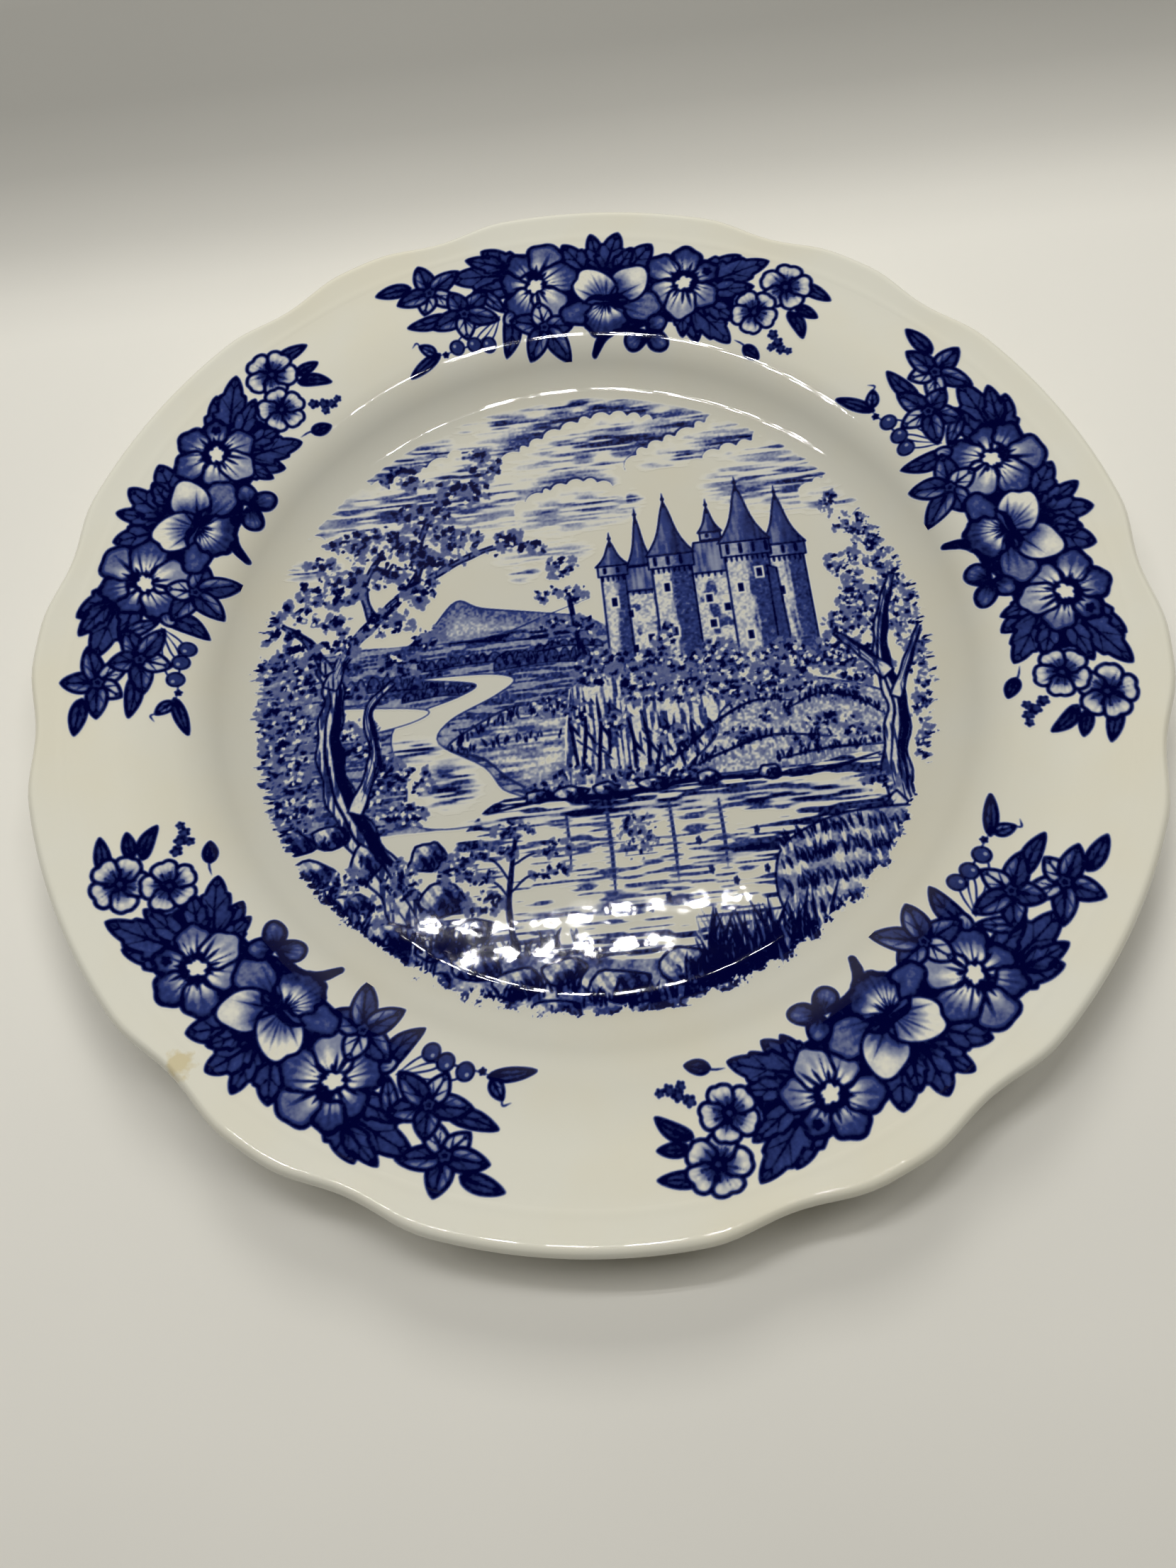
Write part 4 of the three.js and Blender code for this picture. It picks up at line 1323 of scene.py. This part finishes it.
class NodeSketch:
    """A material's node tree, with short calls for the nodes used here."""

    def __init__(self, name):
        self.material = bpy.data.materials.new(name)
        self.material.use_nodes = True
        self.nodes = self.material.node_tree.nodes
        self.links = self.material.node_tree.links
        self.shader = self.nodes["Principled BSDF"]

    def add(self, kind, **settings):
        """A new node of a kind, with its settings."""
        node = self.nodes.new(kind)
        for key, value in settings.items():
            setattr(node, key, value)
        return node

    def noise(self, scale, detail=2.0, roughness=0.5):
        """Noise over the piece's own coordinates."""
        place = self.add("ShaderNodeTexCoord")
        noise = self.add("ShaderNodeTexNoise")
        noise.inputs["Scale"].default_value = scale
        noise.inputs["Detail"].default_value = detail
        noise.inputs["Roughness"].default_value = roughness
        self.links.new(place.outputs["Object"], noise.inputs["Vector"])
        return noise.outputs["Fac"]

    def ranged(self, value, from_min, from_max, to_min, to_max):
        """A value moved from one range to another, and held inside it."""
        node = self.add("ShaderNodeMapRange")
        self.links.new(value, node.inputs["Value"])
        node.inputs["From Min"].default_value = from_min
        node.inputs["From Max"].default_value = from_max
        node.inputs["To Min"].default_value = to_min
        node.inputs["To Max"].default_value = to_max
        return node.outputs["Result"]

    def mixed(self, share, first, second):
        """A colour between two, each a colour or another node's output."""
        node = self.add("ShaderNodeMix", data_type="RGBA")
        self.links.new(share, node.inputs["Factor"])
        for socket, colour in ((node.inputs["A"], first), (node.inputs["B"], second)):
            if isinstance(colour, bpy.types.NodeSocket):
                self.links.new(colour, socket)
            else:
                socket.default_value = (*colour, 1)
        return node.outputs["Result"]

    def graded(self, value, from_min, from_max, tones):
        """Grey tones at given values, in straight steps between them."""
        ramp = self.add("ShaderNodeValToRGB")
        stops = ramp.color_ramp.elements
        stops[0].color = (tones[0][1],) * 3 + (1,)
        stops[1].color = (tones[-1][1],) * 3 + (1,)
        for at, tone in tones:
            stops.new((at - from_min) / (from_max - from_min)).color = (tone, tone, tone, 1)
        self.links.new(self.ranged(value, from_min, from_max, 0, 1), ramp.inputs["Fac"])
        return ramp.outputs["Color"]

    def multiplied(self, colour, tone):
        """A colour darkened by a tone."""
        node = self.add("ShaderNodeMix", data_type="RGBA", blend_type="MULTIPLY")
        node.inputs["Factor"].default_value = 1
        self.links.new(colour, node.inputs["A"])
        self.links.new(tone, node.inputs["B"])
        return node.outputs["Result"]

    def combined(self, operation, first, second):
        """A sum, a product or the like of two values."""
        node = self.add("ShaderNodeMath", operation=operation)
        for socket, value in zip(node.inputs, (first, second)):
            if isinstance(value, bpy.types.NodeSocket):
                self.links.new(value, socket)
            else:
                socket.default_value = value
        return node.outputs["Value"]

    def bump(self, height, distance, strength=1.0, before=None):
        """A normal that is tilted by a height, on top of another where one is given."""
        node = self.add("ShaderNodeBump")
        node.inputs["Strength"].default_value = strength
        node.inputs["Distance"].default_value = distance
        self.links.new(height, node.inputs["Height"])
        if before is not None:
            self.links.new(before, node.inputs["Normal"])
        return node.outputs["Normal"]


def glaze_finish(sketch, colour):
    """Gives a sketch the plate's clear glaze over a colour: glossy, and faintly uneven."""
    sketch.links.new(colour, sketch.shader.inputs["Base Color"])
    gloss = sketch.ranged(sketch.noise(140, 3), 0.3, 0.7, 0.02, 0.045)
    sketch.links.new(gloss, sketch.shader.inputs["Roughness"])
    sketch.shader.inputs["IOR"].default_value = 1.52
    flow = sketch.bump(sketch.noise(70, 1), 0.00006)
    ripple = sketch.bump(sketch.noise(330, 1), 0.000014, before=flow)
    sketch.links.new(ripple, sketch.shader.inputs["Normal"])


def ivory_tone(sketch, colours):
    """The body's ivory, with warmer patches, darkened by painted shade in the well and most in its cove."""
    patches = sketch.ranged(sketch.noise(22, 3, 0.6), 0.42, 0.68, 0, 1)
    place = sketch.add("ShaderNodeTexCoord")
    plan = sketch.add("ShaderNodeVectorMath", operation="MULTIPLY")
    sketch.links.new(place.outputs["Object"], plan.inputs[0])
    plan.inputs[1].default_value = (1, 1, 0)
    out = sketch.add("ShaderNodeVectorMath", operation="LENGTH")
    sketch.links.new(plan.outputs["Vector"], out.inputs[0])
    # Painted shade: by distance from the axis, the ivory is darkened in the well, most in its cove, and a
    # little on the shoulder.
    tones = ((0.072, 0.80), (0.080, 0.77), (0.088, 0.78), (0.096, 0.91), (0.108, 0.99), (0.120, 1.0))
    depth = sketch.graded(out.outputs["Value"], 0.0, 0.13, tones)
    return sketch.multiplied(sketch.mixed(patches, colours.ivory, colours.cream), depth)


def glaze_material(colours):
    """Clear glaze over the ivory body, with one old stain on the edge."""
    sketch = NodeSketch("Clear Glaze Over Ivory")
    # The ivory carries the painted shade of the well and its cove.
    ivory = ivory_tone(sketch, colours)
    place = sketch.add("ShaderNodeTexCoord")
    away = sketch.add("ShaderNodeVectorMath", operation="DISTANCE")
    sketch.links.new(place.outputs["Object"], away.inputs[0])
    away.inputs[1].default_value = STAIN_PLACE
    ragged = sketch.combined("MULTIPLY", sketch.noise(500, 3), 0.006)
    reach = sketch.combined("ADD", away.outputs["Value"], ragged)
    spot = sketch.ranged(reach, 0.0046, 0.0064, 0.6, 0)
    glaze_finish(sketch, sketch.mixed(spot, ivory, colours.stain))
    return sketch.material


def print_material(colours):
    """Cobalt ink under the glaze. The piece's ink attribute says how strongly it is laid."""
    sketch = NodeSketch("Cobalt Print Under Glaze")
    ink = sketch.add("ShaderNodeAttribute", attribute_name="ink")
    uneven = sketch.ranged(sketch.noise(900, 2), 0.25, 0.75, 0.9, 1.08)
    strength = sketch.combined("MULTIPLY", ink.outputs["Fac"], uneven)
    ramp = sketch.add("ShaderNodeValToRGB")
    stops = ramp.color_ramp.elements
    stops[0].color = (*colours.ivory, 1)
    stops[1].color = (*colours.deep_ink, 1)
    for at, colour in ((0.3, colours.pale_ink), (0.6, colours.mid_ink), (0.95, colours.deep_ink)):
        stops.new(at).color = (*colour, 1)
    sketch.links.new(strength, ramp.inputs["Fac"])
    bare = sketch.ranged(strength, 0, 0.12, 1, 0)
    # Bare parts of the sheet take the same ivory, with its painted shade in the well.
    glaze_finish(sketch, sketch.mixed(bare, ramp.outputs["Color"], ivory_tone(sketch, colours)))
    return sketch.material


def clay_material(colours):
    """Rough fired clay with some grime."""
    sketch = NodeSketch("Bare Fired Clay")
    grime = tuple(0.6 * part for part in colours.clay)
    patches = sketch.ranged(sketch.noise(260, 4, 0.7), 0.4, 0.75, 0, 0.7)
    colour = sketch.mixed(patches, colours.clay, grime)
    sketch.links.new(colour, sketch.shader.inputs["Base Color"])
    sketch.shader.inputs["Roughness"].default_value = 0.85
    grit = sketch.bump(sketch.noise(2500, 2), 0.00008)
    sketch.links.new(grit, sketch.shader.inputs["Normal"])
    return sketch.material


class PLATE_OT_clay_body(bpy.types.Operator):
    """Model the clay body, which shows only on the land that it stands on"""

    bl_idname = "plate.clay_body"
    bl_label = "Clay Body"

    def execute(self, context):
        scene = context.scene
        section = Section(scene.plate_sizes)
        depth = scene.plate_sizes.glaze_thickness + BODY_GAP
        outside = below(np.concatenate([section.upper, section.under[1:]]), depth)
        inside = below(section.recess, depth)
        land = [(outside[-1, 0], 0.0), (inside[0, 0], 0.0)]
        bm = spun(section, np.concatenate([outside, land, inside]))
        body = add_object("clay_body", bm, clay_material(scene.plate_colours))
        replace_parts(body, "plate_body")
        return {"FINISHED"}


class PLATE_OT_glaze_coats(bpy.types.Operator):
    """Model the two coats of glaze, one on each side of the foot's bare land"""

    bl_idname = "plate.glaze_coats"
    bl_label = "Glaze Coats"

    def execute(self, context):
        scene = context.scene
        section = Section(scene.plate_sizes)
        thickness = scene.plate_sizes.glaze_thickness
        material = glaze_material(scene.plate_colours)
        outer = np.concatenate([section.upper, section.under[1:]])
        coats = (
            ("outer_glaze", outer, "outer_glaze_coat"),
            ("foot_recess_glaze", section.recess[::-1], "foot_recess_glaze_coat"),
        )
        for name, face, node in coats:
            back = below(face, thickness if face is outer else -thickness)
            bm = spun(section, np.concatenate([face, back[::-1]]))
            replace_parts(add_object(name, bm, material), node)
        return {"FINISHED"}


def laid_print(name, sheet, columns, rows, place, material):
    """Lays part of an engraved sheet on the plate: a grid as fine as the sheet, without its bare part."""
    left, right = sheet.x[columns.start], sheet.x[columns.stop - 1]
    low, high = sheet.y[rows.start], sheet.y[rows.stop - 1]
    spread = Matrix.Diagonal(((right - left) / 2, (high - low) / 2, 1, 1))
    middle = Matrix.Translation(((left + right) / 2, (low + high) / 2, 0))
    bm = bmesh.new()
    bmesh.ops.create_grid(
        bm, x_segments=columns.stop - columns.start - 1, y_segments=rows.stop - rows.start - 1,
        size=1, matrix=middle @ spread,
    )
    mesh = bpy.data.meshes.new(name)
    bm.to_mesh(mesh)
    flat = np.empty(3 * len(mesh.vertices))
    mesh.vertices.foreach_get("co", flat)
    across, up = flat[0::3], flat[1::3]
    ink = sheet.ink[
        np.rint((up - sheet.y[0]) / sheet.pitch).astype(int),
        np.rint((across - sheet.x[0]) / sheet.pitch).astype(int),
    ]
    mesh.vertices.foreach_set("co", place(across, up).ravel())
    mesh.attributes.new("ink", "FLOAT", "POINT").data.foreach_set("value", ink)
    ends = np.empty(len(mesh.loops), np.int32)
    mesh.loops.foreach_get("vertex_index", ends)
    inked = (ink > BARE)[ends].reshape(-1, 4).any(1)
    bm.clear()
    bm.from_mesh(mesh)
    bmesh.ops.delete(bm, geom=[face for face in bm.faces if not inked[face.index]], context="FACES")
    for face in bm.faces:
        face.smooth = True
    return add_object(name, bm, material, mesh)


class PLATE_OT_landscape_print(bpy.types.Operator):
    """Engrave the landscape, and lay it in the well in four quarters"""

    bl_idname = "plate.landscape_print"
    bl_label = "Landscape Print"

    def execute(self, context):
        scene = context.scene
        prints = scene.plate_prints
        section = Section(scene.plate_sizes)
        material = print_material(scene.plate_colours)
        sheet = Sheet(prints.landscape_radius, prints.landscape_radius, prints.landscape_pitch, seed=11)
        draw_landscape(sheet, prints.landscape_radius)
        offset = prints.landscape_offset

        def place(across, up):
            across, up = across + offset[0], up + offset[1]
            radius = np.hypot(across, up)
            height = section.height(radius) + prints.lift
            return section.placed(radius, np.arctan2(up, across), height)

        middle = len(sheet.x) // 2
        halves = (slice(0, middle + 1), slice(middle, len(sheet.x)))
        for number, (rows, columns) in enumerate(itertools.product(halves, halves), 1):
            quarter = laid_print(f"landscape_print_{number}", sheet, columns, rows, place, material)
            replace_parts(quarter, "centre_print")
        return {"FINISHED"}


class PLATE_OT_spray_prints(bpy.types.Operator):
    """Engrave one flower spray, and lay a copy of it at each place on the flange"""

    bl_idname = "plate.spray_prints"
    bl_label = "Spray Prints"

    HALF_LENGTH = 58.5
    HALF_WIDTH = 17.5
    # How far each spray was laid off its even place, in millimetres clockwise.
    SLIPS = (1.4, 2.9, 1.1, -3.8, -1.6)

    def execute(self, context):
        scene = context.scene
        prints = scene.plate_prints
        section = Section(scene.plate_sizes)
        material = print_material(scene.plate_colours)
        sheet = Sheet(self.HALF_LENGTH, self.HALF_WIDTH, prints.spray_pitch, seed=23)
        draw_spray(sheet)
        whole = (slice(0, len(sheet.x)), slice(0, len(sheet.y)))
        for number, slip in enumerate(self.SLIPS[:prints.spray_count]):
            turn = prints.spray_phase + 2 * math.pi * number / prints.spray_count

            def place(along, out):
                radius = prints.spray_radius + prints.spray_scale * out
                angle = turn - (prints.spray_scale * along + slip) / prints.spray_radius
                return section.placed(radius, angle, section.height(radius) + prints.lift)

            spray = laid_print(f"spray_print_{number + 1}", sheet, *whole, place, material)
            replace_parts(spray, f"rim_spray_print_{(number + 1) % prints.spray_count + 1}")
        return {"FINISHED"}


def floor_material(colours):
    """Pale paint with faint patches, darkened by a painted shadow in front of the plate and by painted shade
    in a band behind it.
    """
    sketch = NodeSketch("Studio Floor")
    shade = tuple(0.95 * part for part in colours.floor)
    patches = sketch.ranged(sketch.noise(5, 3), 0.35, 0.7, 0, 1)
    place = sketch.add("ShaderNodeTexCoord")
    axes = sketch.add("ShaderNodeSeparateXYZ")
    sketch.links.new(place.outputs["Object"], axes.inputs["Vector"])
    # Painted shade along Y: a dip in front of the plate stands for a shadow on the floor, and a dark band
    # behind the plate for shade before it brightens again towards the backdrop.
    tones = (
        (-0.4, 1.0), (-0.26, 0.84), (-0.15, 1.0), (0.125, 1.0), (0.14, 0.9), (0.16, 0.68),
        (0.188, 0.49), (0.215, 0.4), (0.26, 0.4), (0.5, 1.0),
    )
    painted_shade_grade = sketch.graded(axes.outputs["Y"], -0.5, 0.6, tones)
    paint = sketch.multiplied(sketch.mixed(patches, colours.floor, shade), painted_shade_grade)
    sketch.links.new(paint, sketch.shader.inputs["Base Color"])
    sketch.shader.inputs["Roughness"].default_value = 0.6
    return sketch.material


def add_lamp(name, place, towards, size, power, colour=(1, 1, 1)):
    """Adds a rectangular lamp that looks towards a point."""
    lamp = bpy.data.lights.new(name, "AREA")
    lamp.shape = "RECTANGLE"
    lamp.size, lamp.size_y = size
    lamp.energy = power
    lamp.color = colour
    holder = bpy.data.objects.new(name, lamp)
    bpy.context.scene.collection.objects.link(holder)
    holder.location = place
    holder.rotation_euler = (Vector(towards) - Vector(place)).to_track_quat("-Z", "Y").to_euler()
    return holder


class PLATE_OT_stage(bpy.types.Operator):
    """Set up the floor, its curved backdrop, the lights and the camera"""

    bl_idname = "plate.stage"
    bl_label = "Stage"

    STRIP_HEIGHT = 0.80
    LAMP_STEP = 0.0345
    LAMPS_ON_THE_LEFT = 6
    WALL_POWER = 14
    LOOK_OF_THE_ROOM = 0.5

    def execute(self, context):
        scene = context.scene
        stage = scene.plate_stage
        self.add_floor(scene.plate_colours)
        self.add_lights(stage)
        self.add_camera(stage)
        scene.world = self.make_world(stage)
        scene.view_settings.view_transform = "Standard"
        return {"FINISHED"}

    def make_world(self, stage):
        """A room that lights the plate faintly and looks pale itself."""
        world = bpy.data.worlds.new("Studio")
        world.use_nodes = True
        world.cycles_visibility.glossy = False
        nodes, links = world.node_tree.nodes, world.node_tree.links
        background = nodes["Background"]
        background.inputs["Color"].default_value = (1, 0.985, 0.95, 1)
        path = nodes.new("ShaderNodeLightPath")
        strength = nodes.new("ShaderNodeMapRange")
        strength.inputs["To Min"].default_value = stage.room_light
        strength.inputs["To Max"].default_value = self.LOOK_OF_THE_ROOM
        links.new(path.outputs["Is Camera Ray"], strength.inputs["Value"])
        links.new(strength.outputs["Result"], background.inputs["Strength"])
        return world

    def add_floor(self, colours):
        """A sheet that lies flat under the plate and bends up into a wall behind it."""
        front, back, wall, curve, width = -14.0, 2.2, 3.5, 1.2, 20.0
        bm = bmesh.new()
        side = [(front, 0.0), *arc((back - curve, curve), curve, -QUARTER, 0, 24), (back, wall)]
        ring = [bm.verts.new((-width / 2, y, z)) for y, z in side]
        edges = [bm.edges.new(pair) for pair in zip(ring[:-1], ring[1:])]
        swept = bmesh.ops.extrude_edge_only(bm, edges=edges)["geom"]
        moved = [item for item in swept if isinstance(item, bmesh.types.BMVert)]
        bmesh.ops.translate(bm, verts=moved, vec=(width, 0, 0))
        bmesh.ops.recalc_face_normals(bm, faces=bm.faces)
        for face in bm.faces:
            face.smooth = True
        mesh = bpy.data.meshes.new("studio_floor")
        bm.to_mesh(mesh)
        bm.free()
        mesh.materials.append(floor_material(colours))
        floor = bpy.data.objects.new("studio_floor", mesh)
        bpy.context.scene.collection.objects.link(floor)

    def add_lights(self, stage):
        """Three soft lights kept out of the glaze, and two strips of small lamps that show in it."""
        softs = (
            ("Left", (-0.40, 0.08, 1.0), 0.31), ("Right", (0.38, 0.08, 1.0), 0.29),
            ("Back", (0.04, 0.66, 0.8), 0.40),
        )
        for name, place, share in softs:
            soft = add_lamp(
                f"{name} Soft Light", place, (0, 0, 0), (0.32, 0.32), share * stage.soft_power,
                stage.light_tint,
            )
            soft.visible_glossy = False
        wall = add_lamp(
            "Wall Light", (0, 0.95, 1.5), (0, 2.2, 1.2), (3.0, 0.4), self.WALL_POWER, stage.light_tint,
        )
        wall.visible_glossy = False
        for strip, row, count, share in (("Near", 0.126, 8, 1.0), ("Far", 0.1555, 10, 0.7)):
            for number in range(count):
                along = (number - self.LAMPS_ON_THE_LEFT) * self.LAMP_STEP
                add_lamp(
                    f"{strip} Strip Lamp {number + 1}", (along, row, self.STRIP_HEIGHT), (along, row, 0),
                    (0.018, 0.0046), share * stage.strip_power,
                )

    def add_camera(self, stage):
        """The camera, turned round the plate and about its own line of sight."""
        camera = bpy.data.cameras.new("Camera")
        camera.lens = stage.lens
        camera.clip_start = 0.01
        holder = bpy.data.objects.new("Camera", camera)
        bpy.context.scene.collection.objects.link(holder)
        turn = Matrix.Rotation(stage.azimuth, 3, "Z")
        back = turn @ Vector((0, -math.cos(stage.elevation), math.sin(stage.elevation)))
        level = turn @ Vector((1, 0, 0))
        up = back.cross(level)
        cos, sin = math.cos(stage.roll), math.sin(stage.roll)
        right, top = cos * level + sin * up, cos * up - sin * level
        turned = Matrix((right, top, back)).transposed().to_4x4()
        holder.matrix_world = Matrix.Translation(Vector(stage.aim) + back * stage.distance) @ turned
        bpy.context.scene.camera = holder


class PLATE_PT_parts(bpy.types.Panel):
    """The steps that build the plate, and the values that they use"""

    bl_idname = "PLATE_PT_parts"
    bl_label = "Printed Plate"
    bl_space_type = "VIEW_3D"
    bl_region_type = "UI"
    bl_category = "Plate"

    def draw(self, context):
        for operator in STEPS:
            self.layout.operator(operator.bl_idname)
        for group in GROUPS:
            settings = getattr(context.scene, group)
            for name in GROUPS[group].__annotations__:
                self.layout.prop(settings, name)


GROUPS = {
    "plate_sizes": PlateSizes,
    "plate_colours": PlateColours,
    "plate_prints": PrintSettings,
    "plate_stage": StageSettings,
}
STEPS = (
    PLATE_OT_stage,
    PLATE_OT_clay_body,
    PLATE_OT_glaze_coats,
    PLATE_OT_landscape_print,
    PLATE_OT_spray_prints,
)


def register():
    """Registers the classes, and hangs the settings on the scene."""
    for group, kind in GROUPS.items():
        bpy.utils.register_class(kind)
        setattr(bpy.types.Scene, group, PointerProperty(type=kind))
    for kind in (*STEPS, PLATE_PT_parts):
        bpy.utils.register_class(kind)


def unregister():
    """Takes the settings and the classes away again."""
    for kind in (PLATE_PT_parts, *reversed(STEPS)):
        bpy.utils.unregister_class(kind)
    for group, kind in GROUPS.items():
        delattr(bpy.types.Scene, group)
        bpy.utils.unregister_class(kind)


def main():
    """Builds the stage and the plate."""
    register()
    for operator in STEPS:
        group, name = operator.bl_idname.split(".")
        getattr(getattr(bpy.ops, group), name)()


if __name__ == "__main__":
    main()
